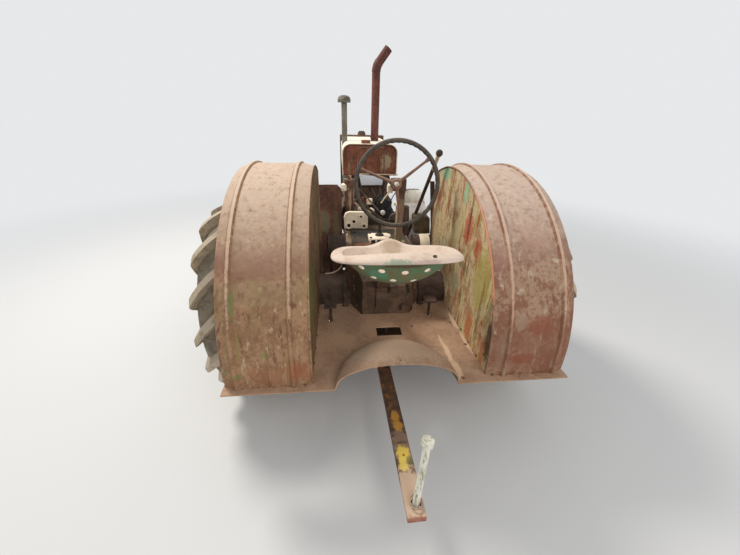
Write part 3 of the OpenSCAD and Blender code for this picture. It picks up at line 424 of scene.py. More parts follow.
finish("guard_rust", (116, 78, 62), (88, 60, 48), (142, 106, 84), 0.12, on=["flywheel_guard", "pulley_guard"],
    stains=[((92, 72, 52), 0.05, 0.25)],
    spots=[((132, 122, 96), (-352, 430, 835), (50, 20, 90), 0.8),
    ((112, 122, 84), (-270, 430, 800), (24, 20, 150), 0.4)])
finish("pulley_grey", (252, 242, 232), (226, 212, 202), (150, 126, 112), 0.08, 0.45, 0.24, 0.0005, on=["belt_pulley"],
    rough_add=-0.15)
finish("seat_tan", (214, 194, 176), (196, 172, 152), (166, 138, 118), 0.1, 0.36, 0.2, 0.0006,
    # The first spot is painted shade inside the seat's front peak.
    spots=[((164, 142, 108), (-22, -430, 985), (48, 50, 56), 0.5),
    ((124, 150, 126), (-60, -800, 1070), (54, 24, 22), 0.7), ((172, 138, 140), (60, -800, 1070), (90, 24, 16), 0.5)])
finish("seat_green", (84, 116, 82), (116, 98, 62), (56, 52, 36), 0.04, 0.5, 0.5, 0.0008,
    spots=[((78, 142, 110), (-120, -720, 990), (44, 60, 26), 0.6), ((104, 84, 56), (10, -760, 975), (60, 40, 24), 0.5),
    ((70, 128, 98), (96, -720, 1010), (50, 60, 24), 0.5), ((76, 56, 38), (-26, -770, 1040), (200, 40, 12), 0.7)])
finish("stack_grey", (124, 120, 106), (96, 88, 76), (150, 140, 120), 0.08, 0.45, 0.3, 0.0008, on=["air_cleaner"])
finish("exhaust_rust", (114, 66, 54), (88, 48, 38), (138, 92, 74), 0.10, on=["exhaust_pipe"],
    stains=[((80, 50, 42), 0.05, 0.3)])
finish("bar_brown", (104, 76, 56), (78, 57, 44), (134, 98, 70), 0.10, 0.5, 0.34, on=["drawbar"],
    stains=[((140, 92, 50), 0.03, 0.3)],
    spots=[((150, 122, 102), (-14, -900, 314), (44, 90, 34), 0.75),
    ((204, 176, 150), (-12, -1080, 314), (60, 110, 40), 0.85), ((196, 140, 50), (-21, -758, 314), (20, 34, 30), 0.85),
    ((200, 144, 54), (-17, -806, 314), (24, 26, 30), 0.8), ((232, 198, 84), (-16, -930, 314), (28, 40, 30), 0.9),
    ((226, 196, 92), (-22, -974, 314), (22, 30, 30), 0.85), ((112, 112, 66), (2, -960, 314), (14, 20, 30), 0.7),
    ((70, 56, 44), (-14, -884, 314), (30, 8, 30), 0.5), ((152, 88, 66), (-10, -1157, 300), (44, 8, 30), 0.8)])
finish("bolt_steel", (224, 222, 206), (196, 194, 178), (96, 92, 76), 0.06, 0.42, 0.36, 0.0004, on=["hitch_pin"],
    metal=0.15, rough_add=-0.2, stains=[((156, 152, 122), 0.013, 0.36)])
finish("dark_steel", (84, 66, 54), (62, 50, 44), (118, 94, 76), 0.06, 0.5, 0.3, 0.0008,
    on=["pitman_arm", "drag_link", "tie_rod", "fan"], metal=0.1)
finish("lever_steel", (76, 60, 48), (58, 46, 40), (108, 84, 66), 0.06, 0.5, 0.3, 0.0008, on=["clutch_lever"],
    # The pale spot is a painted highlight on the lever's upper part.
    spots=[((206, 186, 156), (316, 172, 1268), (40, 40, 70), 0.8)])
finish("wheel_rim_grey", (88, 80, 70), (66, 60, 54), (126, 116, 102), 0.04, 0.45, 0.3, 0.0005,
    dust=((134, 126, 114), 0.3))
finish("box_dark", (104, 92, 68), (82, 72, 54), (124, 106, 82), 0.08)
finish("bolt_rusty", (126, 100, 80), (92, 70, 56), (160, 134, 110), 0.03, 0.45, 0.3, 0.0003)
finish("core_dark", (74, 66, 56), (54, 50, 44), (104, 90, 74), 0.06, 0.5, 0.3, 0.0002)
finish("tyre_front", (92, 88, 80), (72, 70, 64), (112, 106, 94), 0.07, 0.45, dust=((136, 128, 112), 0.5))
finish("drum_grey", (255, 250, 236), (236, 224, 206), (140, 124, 106), 0.05, 0.42, 0.3, 0.0006)
finish("spoke_brown", (136, 104, 88), (106, 78, 64), (166, 134, 112), 0.05, 0.5, 0.3, 0.0006,
    dust=((206, 182, 156), 0.6))
finish("post_olive", (122, 112, 78), (138, 106, 84), (94, 76, 54), 0.08, 0.45, 0.34, on=["steering_post"],
    dust=((176, 156, 128), 0.3),
    # The thin pale spot at x 86 is a painted highlight on the post's left edge.
    spots=[((84, 60, 48), (92, 104, 1150), (90, 90, 96), 1.0), ((206, 188, 152), (86, 90, 940), (7, 12, 130), 0.75)])
finish("magneto_black", (34, 36, 40), (50, 52, 56), (84, 80, 74), 0.05, 0.4, 0.16, 0.0005, on=["magneto"],
    rough_add=-0.25)
finish("tyre_grey", (132, 120, 100), (104, 94, 78), (84, 76, 62), 0.07, 0.45, dust=((150, 138, 114), 0.5))
# The tread bars are lighter than the carcass: dust and a painted highlight on the bars.
finish("tyre_bars_dust_and_highlight", (184, 168, 144), (148, 134, 112), (100, 90, 76), 0.06, 0.42, dust=((190, 176, 150), 0.6))
finish("rim_rust", (120, 92, 70), (92, 66, 50), (142, 108, 80), 0.10,
    on=["rear_wheel_left", "rear_wheel_right", "front_wheel_left", "front_wheel_right"], dust=((160, 136, 110), 0.5))
finish("wire_pink", (196, 160, 146), (166, 128, 114), (120, 90, 78), 0.04, 0.4, 0.2, 0.0002)
finish("bright_rod", (214, 194, 160), (184, 158, 124), (130, 104, 80), 0.05, 0.4, 0.2, 0.0003)
finish("tag_white", (226, 229, 236), (214, 217, 224), (198, 200, 204), 0.05, 0.3, 0.08, 0.0001)
# Dark discs and blocks in this finish stand for holes and hollows: painted shade, not cut.
finish("painted_hole_shade", (26, 22, 20), (34, 28, 24), (20, 18, 16), 0.05, 0.4, 0.2, 0.0003)
print("finishes in all", len(finishes))

# %% [markdown]
# ## Making pieces
# A piece is a mesh in place, with its origin at the frame's origin, that rides on one of the tractor's bodies.
# Repeats around an axle come from one Geometry Nodes tree: it turns a piece round an axis and makes it real.

# %% Pieces from points and faces
origin, rightwards, forwards, upwards = Vector((0, 0, 0)), Vector((1, 0, 0)), Vector((0, 1, 0)), Vector((0, 0, 1))
sides = (("left", -1), ("right", 1))


def add_piece(name, mesh, look, body="chassis", replaces=(), smooth=35):
    """A finished piece. Edges sharper than smooth degrees stay sharp, and 0 keeps every face flat."""
    thing = placed(name, mesh)
    mesh.name = name
    wears(thing, look)
    if smooth:
        mesh.shade_smooth()
        mesh.set_sharp_from_angle(angle=radians(smooth))
    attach(thing, body)
    if replaces:
        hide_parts(*replaces)
    return thing


def mesh_of(points, faces, outward=True):
    mesh = bpy.data.meshes.new("piece")
    mesh.from_pydata([tuple(p) for p in points], [], faces)
    if outward:
        shape = bmesh.new()
        shape.from_mesh(mesh)
        bmesh.ops.remove_doubles(shape, verts=shape.verts, dist=1e-6)
        bmesh.ops.recalc_face_normals(shape, faces=shape.faces)
        shape.to_mesh(mesh)
        shape.free()
    mesh.validate()
    return mesh


def band(first, second, count):
    """Faces between two closed rings of count points, numbered from first and from second."""
    return [(first + i, first + (i + 1) % count, second + (i + 1) % count, second + i) for i in range(count)]


def even(first, last, steps):
    """Evenly spaced values from first to last, both included."""
    return [first + (last - first) * k / steps for k in range(steps + 1)]


def circle(count, start=0.0):
    """Angles of equal steps round a full turn, the first one start steps in."""
    return [2 * pi * (k + start) / count for k in range(count)]


def arc_points(x, y, r, angles):
    return [(x + r * cos(a), y + r * sin(a)) for a in angles]


def bar_faces(rings, sides):
    """Faces of a bar made of rings of points, with both ends closed."""
    faces = [face for k in range(rings - 1) for face in band(k * sides, (k + 1) * sides, sides)]
    return faces + [tuple(range(sides)), tuple(range((rings - 1) * sides, rings * sides))]


# %% Turned, bent and pushed shapes
def lathe(profile, centre=origin, steps=96, axis="X"):
    """A closed ring of (radius mm, offset mm) points turned about an axis through centre."""
    points, faces, n = [], [], len(profile)
    for a in circle(steps):
        for r, off in profile:
            c, s = r * cos(a), r * sin(a)
            spin = {"X": (off, c, s), "Y": (c, off, s), "Z": (c, s, off)}[axis]
            points.append(centre + Vector(spin) / 1000)
    for k in range(steps):
        faces += band(k * n, (k + 1) % steps * n, n)
    return mesh_of(points, faces)


def turned(name, profile, centre, look, steps=48, axis="Y"):
    return add_piece(name, lathe(profile, centre, steps, axis), look)


def tube(points, radius, sides=10, closed=False):
    """A round bar through points in metres; radius in millimetres, one value or one for each point."""
    rings, side, count = [], None, len(points)
    radii = radius if isinstance(radius, list) else [radius] * count
    for k, p in enumerate(points):
        before, after = points[max(k - 1, 0)], points[min(k + 1, count - 1)]
        if closed:
            before, after = points[k - 1], points[(k + 1) % count]
        along = (after - before).normalized()
        side = (side - along * side.dot(along)).normalized() if side else along.orthogonal().normalized()
        other = along.cross(side)
        rings += [p + (side * cos(a) + other * sin(a)) * radii[k] / 1000 for a in circle(sides)]
    if closed:
        return mesh_of(rings, [face for k in range(count) for face in band(k * sides, (k + 1) % count * sides, sides)])
    return mesh_of(rings, bar_faces(count, sides))


def prism(outline, reach):
    """An outline of points in metres, pushed along reach (mm)."""
    n = len(outline)
    points = outline + [p + Vector(reach) / 1000 for p in outline]
    return mesh_of(points, [tuple(range(n)), tuple(range(n, 2 * n))] + band(0, n, n))


def rounded(mesh, bevel):
    shape = bmesh.new()
    shape.from_mesh(mesh)
    bmesh.ops.bevel(shape, geom=shape.edges[:], offset=bevel / 1000, segments=3, profile=0.5, affect="EDGES",
                    clamp_overlap=True)
    shape.to_mesh(mesh)
    shape.free()
    return mesh


# %% Sheets cut and drilled
def standing(place, way):
    """The move that stands a shape's Z axis along way at place."""
    return Matrix.Translation(place) @ way.to_track_quat("Z", "Y").to_matrix().to_4x4()


def real_mesh(thing):
    """Gives back what a thing's modifiers make of its mesh, and takes the thing away."""
    graph = bpy.context.evaluated_depsgraph_get()
    mesh = bpy.data.meshes.new_from_object(thing.evaluated_get(graph), depsgraph=graph)
    bpy.data.objects.remove(thing)
    return mesh


def cut_by(thing, cutters, use_self=False):
    """The thing's mesh with the cutters' shapes taken out of it."""
    cutter_mesh = bpy.data.meshes.new("cutters")
    cutters.to_mesh(cutter_mesh)
    cutter = placed("cutters", cutter_mesh)
    cut = thing.modifiers.new("cuts", "BOOLEAN")
    cut.object, cut.operation, cut.solver, cut.use_self = cutter, "DIFFERENCE", "EXACT", use_self
    mesh = real_mesh(thing)
    bpy.data.objects.remove(cutter)
    return mesh


def drilled(thing, marks):
    """Bores a thin sheet wherever the photo shows a hole: marks are (u, v, radius mm, width over height)."""
    bpy.context.view_layer.update()
    drills = bmesh.new()
    for u, v, r, wide in marks:
        hit, place, normal, _ = thing.ray_cast(eye, seen_through(u, v))
        if hit:
            turn = standing(place, normal) @ Matrix.Diagonal((wide, 1, 1, 1))
            bmesh.ops.create_cone(drills, cap_ends=True, segments=20, radius1=r / 1000, radius2=r / 1000, depth=0.05,
                                  matrix=turn)
    thick = thing.modifiers.new("thickness", "SOLIDIFY")
    thick.thickness, thick.offset = 0.006, -1
    return cut_by(thing, drills)


# %% Geometry Nodes tree that repeats a piece round an axis
round_axis = bpy.data.node_groups.new("copies_round_an_axis", "GeometryNodeTree")
sockets = {}
for label, kind in (("Geometry", "Geometry"), ("Count", "Int"), ("Centre", "Vector"), ("Turn", "Vector")):
    sockets[label] = round_axis.interface.new_socket(label, in_out="INPUT", socket_type="NodeSocket" + kind).identifier
round_axis.interface.new_socket("Geometry", in_out="OUTPUT", socket_type="NodeSocketGeometry")
given, result, points, copies, number, angle, turn, real = [round_axis.nodes.new(kind) for kind in (
    "NodeGroupInput", "NodeGroupOutput", "GeometryNodePoints", "GeometryNodeInstanceOnPoints",
    "GeometryNodeInputIndex", "ShaderNodeVectorMath", "FunctionNodeEulerToRotation", "GeometryNodeRealizeInstances")]
angle.operation = "SCALE"
for source, target in (
        (given.outputs["Count"], points.inputs["Count"]), (given.outputs["Centre"], points.inputs["Position"]),
        (points.outputs[0], copies.inputs["Points"]), (given.outputs["Geometry"], copies.inputs["Instance"]),
        (given.outputs["Turn"], angle.inputs[0]), (number.outputs[0], angle.inputs["Scale"]),
        (angle.outputs[0], turn.inputs[0]), (turn.outputs[0], copies.inputs["Rotation"]),
        (copies.outputs[0], real.inputs[0]), (real.outputs[0], result.inputs[0])):
    round_axis.links.new(source, target)
print("nodes that turn copies round an axis", len(round_axis.nodes))


def ring_of(name, mesh, count, centre, turn, look, body):
    """Copies of a mesh drawn about the origin, each turned by the vector turn (radians) from the last."""
    thing = placed("one_of_" + name, mesh)
    repeat = thing.modifiers.new("round", "NODES")
    repeat.node_group = round_axis
    for label, value in (("Count", count), ("Centre", centre), ("Turn", turn)):
        repeat[sockets[label]] = value
    return add_piece(name, real_mesh(thing), look, body)


# %% [markdown]
# ## Rear tyres
# The real tyres have deep curved bars that lean back from the middle to the shoulder. The carcass is turned
# on a lathe, one bar is drawn for each half, and the tree repeats it sixteen times round the axle.

# %% Rear tyres
tyre_low, tyre_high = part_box("rear_tyre_left")
tyre_r, half_w = (tyre_high.z - axle_z) * 1000, (tyre_high.x - tyre_low.x) * 500
rim_r, lug_count, lug_rise, first_lug = 312, 16, 40, radians(1.9)
lug_lean, shoulder_drop = 0.30, 35
carcass_r = tyre_r - lug_rise
lug_rows = [(u, 1, 0) for u in (0.02, 0.15, 0.3, 0.45, 0.6, 0.74, 0.86, 0.95)]
lug_rows += [(1.0, 1, 3), (0.995, 0.95, 26), (0.97, 0.85, 52)]


def lug_mesh(half):
    """One bar from the middle of the tread to the shoulder; half is 1 outwards along +X or -1."""
    points = []
    for u, wide, down in lug_rows:
        lean = lug_lean * (1 - (0.62 * u + 0.38 * u * u)) - 0.0009 * down
        top = tyre_r - shoulder_drop * u ** 2.6 - down
        foot = min(top - 4, carcass_r - 8 - 62 * u ** 4 - down * 0.8)
        for r, spread in ((foot, 36), (top - 12, 25), (top, 20), (top, -20), (top - 12, -25), (foot, -36)):
            a = lean + spread * wide / r
            points.append(Vector((half * half_w * u, -r * cos(a), r * sin(a))) / 1000)
    return mesh_of(points, bar_faces(len(lug_rows), 6))


def tyre_profile(outer, inner, crown=()):
    """Both halves of a hollow tyre from the points of one: (radius, share of the half width)."""
    profile = [(r, -w) for r, w in outer] + list(crown) + [(r, w) for r, w in reversed(outer)]
    return profile + [(r, w) for r, w in inner] + [(r, -w) for r, w in reversed(inner)]


wall = [(rim_r + rise, w) for rise, w in ((1, 0.6), (26, 0.74), (60, 0.88), (95, 0.93))]
wall += [(carcass_r - drop, w) for drop, w in ((62, 0.93), (36, 0.88), (14, 0.7), (3, 0.4))]
inner_wall = [(rim_r + 1, 0.45), (rim_r + 60, 0.74), (carcass_r - 70, 0.78), (carcass_r - 40, 0.4)]
carcass = [(r, w * half_w) for r, w in tyre_profile(wall, inner_wall, [(carcass_r, 0)])]
for side, out in sides:
    hub, body = node_centre("rear_tyre_" + side), "rear_wheel_" + side
    add_piece("rear_tyre_carcass_" + side, lathe(carcass, hub), "tyre_grey", body, replaces=["rear_tyre_" + side])
    for half, where, shift in ((out, "outer", 0.0), (-out, "inner", pi / lug_count)):
        bar = lug_mesh(half)
        bar.transform(Matrix.Rotation(-(first_lug + shift), 4, "X"))
        ring_of("tread_bars_%s_%s" % (side, where), bar, lug_count, hub, (2 * pi / lug_count, 0, 0), "tyre_bars_dust_and_highlight",
                body)
print("tread bars on each tyre", 2 * lug_count)

# %% [markdown]
# ## Fender panels
# The fenders are the solids themselves. Their flat inner sides show other paint than their crowns: yellow-green
# with rust running down. The right one faces the camera, so each side panel is drawn as its own thin sheet with a
# rolled edge, just clear of the solid.

# %% Fender side panels and rolled edges
fender_from, fender_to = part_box("fender_left")
fender_in, fender_low = -fender_to.x * 1000, fender_from.z * 1000
front_reach = (fender_to.y - axle_y) * 1000
arc_r, housing_r = (fender_to.z - axle_z) * 1000 - 23, 116
start_angle = asin((fender_low - axle_high) / arc_r)
stop_angle = pi - acos(front_reach / arc_r)
arc = [(-arc_r * cos(a), axle_high + arc_r * sin(a)) for a in even(start_angle, stop_angle, 90)]
notch = arc_points(0, axle_high, housing_r, even(radians(-13), radians(193), 24)[1:-1])
low_y = sqrt(housing_r ** 2 - (axle_high - fender_low) ** 2)
outline = arc + [(front_reach, fender_low), (low_y, fender_low)] + notch + [(-low_y, fender_low)]
edge = [(y, z + 1) for y, z in arc] + [(front_reach, z) for z in (arc[-1][1] - 60, 900, 700, fender_low + 4)]
for (side, s), panel_finish, bead_finish in zip(sides, ("panel_left_dark", "panel_green_rust"),
                                                ("fender_left_tan", "edge_orange")):
    panel = prism([at(s * (fender_in - 1.5), y, z) for y, z in outline], (s * 1.3, 0, 0))
    add_piece("fender_panel_" + side, panel, panel_finish, smooth=0)
    add_piece("fender_bead_" + side, tube([at(s * (fender_in - 2), y, z) for y, z in edge], 4.5, 8), bead_finish)
print("fender panel radius", round(arc_r))

# %% [markdown]
# ## Seat
# A pressed steel pan: a steep bowl with a high back, a small peak in front, a rolled rim and two rows of drain
# holes in its back wall. The same rule that shapes the solid shapes this finer sheet. It gets its thickness from
# Solidify, and a Boolean cuts the holes where rays from the camera meet the pan.

# %% Seat
seat_low, seat_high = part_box("seat")
seat_mid = Vector(((seat_low.x + seat_high.x) / 2, (seat_low.y + seat_high.y) / 2, seat_low.z))
seat_half = Vector((seat_high.x - seat_low.x, seat_high.y - seat_low.y, 0)) / 2
seat_steps, bowl_rows, bowl_share = 144, 22, 0.87
brim_height, back_rise, front_drop, peak_rise = 101, 75, 51, 36
drain_holes = [(362, 266), (382, 270), (405, 271.5), (427, 269), (443, 264.5), (374, 276), (393, 279), (413, 279),
               (431, 276)]


def seat_place(s, drop, a):
    """The pan's point at share s of its radius in direction a, pulled down by drop mm."""
    back, front = max(0, -sin(a)), max(0, sin(a))
    rise = brim_height + back_rise * back ** 1.3 - front_drop * front ** 2 + peak_rise * front ** 30
    slope = 16 * back * (max(0, s - 0.78) / 0.22) ** 1.3
    z = rise * min(1, s / 0.83) ** 3 - drop - slope + 6
    x, y = seat_mid.x + seat_half.x * s * cos(a), seat_mid.y + seat_half.y * s * sin(a)
    return Vector((x, y, seat_mid.z + z / 1000))


rows = [(bowl_share * (i + 1) / bowl_rows, 0) for i in range(bowl_rows)]
rows += [(0.93 + 0.07 * sin(a), 10 * (1 - cos(a))) for a in map(radians, range(15, 166, 15))]
points = [seat_place(0, 0, 0)] + [seat_place(s, drop, a) for s, drop in rows for a in circle(seat_steps)]
faces = [(0, 1 + k, 1 + (k + 1) % seat_steps) for k in range(seat_steps)]
for i in range(len(rows) - 1):
    a, b = 1 + i * seat_steps, 1 + (i + 1) * seat_steps
    faces += [(a + k, b + k, b + (k + 1) % seat_steps, a + (k + 1) % seat_steps) for k in range(seat_steps)]
pan = placed("seat_pan", mesh_of(points, faces, outward=False))
seat_mesh = drilled(pan, [(u, v, 10.5, 1.2) for u, v in drain_holes] + [(435.4, 256.4, 7.5, 1.5)])
add_piece("seat_sheet", seat_mesh, "seat_tan", replaces=["seat"], smooth=40)
seat_mesh.materials.append(finishes["seat_green"])
for face in seat_mesh.polygons:
    off = face.center - seat_mid
    if face.normal.z < -0.05 and hypot(off.x / seat_half.x, off.y / seat_half.y) < 0.93:
        face.material_index = 1
print("seat faces", len(seat_mesh.polygons))

# %% [markdown]
# ## Platform
# A flat plate with a half dome pressed up at its rear edge, over the drawbar, and a few old bolt holes. Booleans
# cut the plate's outline, the peep hole and the dome's place. The dome is a half turned sheet of the same metal.

# %% Platform plate
plate_low, plate_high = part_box("platform")
dome_x, dome_r, dome_rise, dome_steps, front_y = -18, 258, 120, 64, -112
floor_top = plate_high.z * 1000 - dome_rise
rear_y, side_x = (plate_low.y - axle_y) * 1000, plate_high.x * 1000
slab = [(-side_x, front_y), (side_x, front_y), (side_x, rear_y), (-side_x, rear_y)]
sheet = placed("platform_slab", prism([at(x, y, floor_top - 6) for x, y in slab], (0, 0, 6)))
peep_hole = [(-68, -428), (61, -428), (61, -354), (-68, -354)]
case_gap = [(-198, -100), (-138, -230), (138, -230), (198, -100)]
wheel_in, wheel_rear = fender_in + 6, rear_y + 75
cutters = bmesh.new()


def cut_outline(outline):
    low, high = [[cutters.verts.new(at(x, y, floor_top + z)) for x, y in outline] for z in (-60, 60)]
    cutters.faces.new(low)
    cutters.faces.new(high)
    for i in range(len(outline)):
        j = (i + 1) % len(outline)
        cutters.faces.new((low[i], low[j], high[j], high[i]))


def cut_disc(x, y, r, steps=16):
    cut_outline(arc_points(x, y, r, circle(steps)))


cut_disc(dome_x, rear_y, dome_r - 2, 96)
cut_outline(peep_hole)
cut_outline(case_gap)
for s in (-1, 1):
    cut_outline([(s * x, y) for x, y in ((wheel_in, wheel_rear), (800, wheel_rear), (800, -90), (wheel_in, -90))])
    cut_disc(s * 222, -128, 22)
for x, y in ((-303, -276), (240, -250)):
    cut_disc(x, y, 14)
for u, v, r in ((463, 378, 4), (479, 368, 4), (467, 344, 4.5), (450, 322, 4), (452, 326, 3.5), (306, 372, 4),
                (300, 298, 3), (322, 300, 3), (519, 376, 4), (535.4, 374.4, 4), (316.5, 352, 4), (314.4, 375.5, 4)):
    ray = seen_through(u, v)
    hit = eye + ray * ((floor_top / 1000 - eye.z) / ray.z)
    cut_disc(hit.x * 1000, (hit.y - axle_y) * 1000, r)
bmesh.ops.recalc_face_normals(cutters, faces=cutters.faces)
sheet_mesh = cut_by(sheet, cutters, use_self=True)
add_piece("platform_sheet", sheet_mesh, "platform_brown", replaces=["platform"], smooth=30)
print("platform faces", len(sheet_mesh.polygons))

# %% Platform dome
profile = [(dome_r + 14, 0.4), (dome_r + 6, 1.2), (dome_r + 1.5, 4)]
profile += [(dome_r * cos(t) ** 0.9, dome_rise * sin(t) ** 0.9) for t in even(0, pi / 2, 32)[2:]]
points, faces, n = [], [], len(profile)
for a in even(0, pi, dome_steps):
    points += [at(dome_x + r * cos(a), rear_y + r * sin(a), floor_top + z) for r, z in profile]
for k in range(dome_steps):
    a, b = k * n, (k + 1) * n
    faces += [(a + i, b + i, b + i + 1, a + i + 1) for i in range(n - 1)]
dome = placed("dome", mesh_of(points, faces, outward=False))
shape = bmesh.new()
shape.from_mesh(dome.data)
bmesh.ops.remove_doubles(shape, verts=shape.verts, dist=1e-5)
if sum(face.normal.z for face in shape.faces) < 0:
    bmesh.ops.reverse_faces(shape, faces=shape.faces)
shape.to_mesh(dome.data)
dome_mesh = drilled(dome, [(400.6, 360.3, 5, 1)])
add_piece("platform_dome", dome_mesh, "platform_brown", smooth=50)
dome_mesh.materials.append(finishes["dome_green"])
for face in dome_mesh.polygons:
    off = face.center - at(dome_x, rear_y, floor_top)
    if face.normal.dot(off) < 0 and off.y > 0.002:
        face.material_index = 1
print("dome faces", len(dome_mesh.polygons))

# %% Platform channels
web = [(-20, -7), (20, -7), (20, -56), (14, -56), (14, -13), (-14, -13), (-14, -56), (-20, -56)]
for side, s in sides:
    channel = [at(s * (fender_in - 35 + x), rear_y + 50, floor_top + z) for x, z in web]
    add_piece("platform_channel_" + side, prism(channel, (0, front_y - rear_y - 50, 0)), "case_brown", smooth=0)
print("channel depth", web[0][1] - web[2][1], "mm")

# %% [markdown]
# ## Steering wheel
# The rim has finger grips on its far side, the spokes bow down from the hub to the rim, and a nut holds the hub on
# the shaft. It is drawn about its own axis and then tipped to the angle of the shaft.

# %% Steering rim
hub, box_end = Vector((65, 20, 1167)), Vector((215, 1520, 945))
shaft_way = (box_end - hub).normalized()
tip = Matrix.Translation(at(*hub)) @ Matrix.Rotation(atan2(shaft_way.y, shaft_way.x), 4, "Z") @ \
    Matrix.Rotation(acos(shaft_way.z), 4, "Y") @ Matrix.Rotation(pi / 2, 4, "Z")
ring_r, grip_r, grips, rim_steps, rim_sides = 216.5, 12.5, 44, 264, 16


def on_shaft(name, mesh, look, **more):
    mesh.transform(tip)
    add_piece(name, mesh, look, "steering_wheel", **more)


points, faces = [], []
for a in circle(rim_steps):
    for b in circle(rim_sides):
        inner = max(0, 0.5 * sin(b) - 0.9 * cos(b))
        r = grip_r - 2.2 * inner * (0.5 - 0.5 * cos(grips * a))
        out = ring_r + r * cos(b)
        points.append(Vector((out * cos(a), out * sin(a), r * sin(b) - 20)) / 1000)
for k in range(rim_steps):
    faces += band(k * rim_sides, (k + 1) % rim_steps * rim_sides, rim_sides)
on_shaft("steering_rim", mesh_of(points, faces), "wheel_rim_grey", replaces=["steering_wheel"])
print("points in the rim", len(points))

# %% Steering spokes, hub and shaft
for number, degrees in enumerate((21, 141, 261)):
    a = radians(degrees)
    way = Vector((cos(a), sin(a), 0))
    path = [(way * (18 + (ring_r - 18) * t) + Vector((0, 0, 12 - 32 * t ** 1.3))) / 1000 for t in even(0, 1, 12)]
    girth = [10.5 - 3.5 * sin(pi * min(1, t * 1.1) / 2) + (3.5 if t > 0.9 else 0) for t in even(0, 1, 12)]
    on_shaft("steering_spoke_%d" % number, tube(path, girth, 12), "spoke_brown")
boss = [(0.5, -10), (12, -11), (22, -9), (29, -3), (30, 6), (30, 30), (26, 38), (20, 48), (15, 50), (0.5, 50)]
on_shaft("steering_boss", lathe(boss, steps=48, axis="Z"), "spoke_brown")
nut = [(0.5, -21), (9, -21), (13, -18), (14.5, -11), (14.5, -8), (0.5, -8)]
on_shaft("steering_nut", lathe(nut, steps=6, axis="Z"), "bolt_steel", smooth=0)
length = (box_end - hub).length - 35
shaft = tube([upwards * z / 1000 for z in (38, 42, length - 3, length)], [13, 15, 15, 12], 32)
on_shaft("steering_shaft", shaft, "dark_steel")
print("steering shaft length", round(length))

# %% [markdown]
# ## Engine bay
# Small castings, rods and wires show past the steering wheel. Each is placed on the ray through its own pixels in
# the photo, at the depth of the part it is bolted to.

# %% Helpers for castings and rods
def seen_at(u, v, y):
    """The point on the upright plane y (mm ahead of the rear axle) that the photo shows at pixel u, v."""
    ray = seen_through(u, v)
    return eye + ray * ((axle_y + y / 1000 - eye.y) / ray.y)


def seen(y, pixels):
    return [seen_at(u, v, y) for u, v in pixels]


def lump(name, pixels, y, depth, look, bevel=4):
    """A casting whose rear face covers the given pixels at y, rounded on all edges."""
    add_piece(name, rounded(prism(seen(y, pixels), (0, depth, 0)), bevel), look, smooth=50)


def plate_block(name, low, high, look, bevel=6):
    """A rounded block between two corners in mm from the rear axle."""
    (x0, y0, z0), (x1, y1, z1) = low, high
    corners = [at(x, y, z0) for x, y in ((x0, y0), (x1, y0), (x1, y1), (x0, y1))]
    add_piece(name, rounded(prism(corners, (0, 0, z1 - z0)), bevel), look, smooth=50)


def frame_of(u0, v0, u1, v1):
    return [(u0, v1), (u1, v1), (u1, v0), (u0, v0)]


def bent(points, times=3):
    """Rounds the corners of a path by cutting them off again and again."""
    for _ in range(times):
        new = [points[0]]
        for p, q in zip(points, points[1:]):
            new += [p.lerp(q, 0.25), p.lerp(q, 0.75)]
        points = new + [points[-1]]
    return points


def rod_seen(name, path, radius, look, sides=10):
    """A rod through (u, v, y) marks with rounded bends."""
    add_piece(name, tube(bent([seen_at(*mark) for mark in path]), radius, sides), look)


# %% Helpers for bolts
def heads(points, way):
    return [(point, way) for point in points]


washer, hexagon = ((0, 1.3), (0.2, 1.3), (0.24, 1.2)), ((0.2, 1.0), (0.72, 1.0), (0.9, 0.84))


def bolts(name, places, size, look="bolt_rusty", body="chassis"):
    """Hexagon heads on round washers: places are (point in metres, outward direction)."""
    points, faces = [], []
    for place, way in places:
        turn = standing(place, way)
        for count, rings in ((20, washer), (6, hexagon)):
            base = len(points)
            for z, r in rings:
                points += [turn @ (Vector((r * cos(a), r * sin(a), z)) * size / 1000) for a in circle(count)]
            faces += band(base, base + count, count) + band(base + count, base + 2 * count, count)
            faces += [tuple(range(base + 2 * count, base + 3 * count)), tuple(reversed(range(base, base + count)))]
    add_piece(name, mesh_of(points, faces, outward=False), look, body, smooth=0)
    print(name, len(places))


def bolted(name, node_name, starts, way, size, body="chassis"):
    """Bolt heads where rays from starts (metres) along way first meet a node."""
    node = nodes[node_name]
    turn = node.matrix_world.inverted()
    places = []
    for start in starts:
        hit, place, normal, _ = node.ray_cast(turn @ start, way)
        if hit and normal.dot(way) < -0.5:
            places.append((node.matrix_world @ place, -way))
    bolts(name, places, size, body=body)


# %% Rear of the hood
backwards = -forwards
lump("blank_tag", [(361.3, 185.2), (382.5, 185), (383, 177), (359.2, 174.3)], 738, 1.6, "tag_white", 0.6)
bolts("tag_screws", heads(seen(738, [(361.5, 176.3), (381, 178.3)]), backwards), 2.6, "bolt_steel")
rod_seen("hood_cross_rod", [(358.5, 173.8, 742), (378, 174.4, 742), (398, 174.8, 742)], 4, "bright_rod")
rim_path = [(357.4, 172.5), (357.4, 152), (358, 148.6), (361, 147.6), (380.5, 147.6), (383.6, 148.8), (384.3, 152),
            (384.3, 172.5)]
add_piece("tank_rim", tube(bent(seen(764, rim_path), 2), 5, 8), "spoke_brown")
tank_bolts = [(354, 151.5), (387.6, 153), (353.6, 168), (390, 171), (371, 150)]
bolts("tank_bolts", heads(seen(765, tank_bolts), backwards), 5, "tank_rust")
fuel_path = [(381, 172, 762), (382.5, 178, 756), (379, 186, 740), (380, 193, 730), (377, 199, 700)]
rod_seen("fuel_line", fuel_path, 4, "spoke_brown")

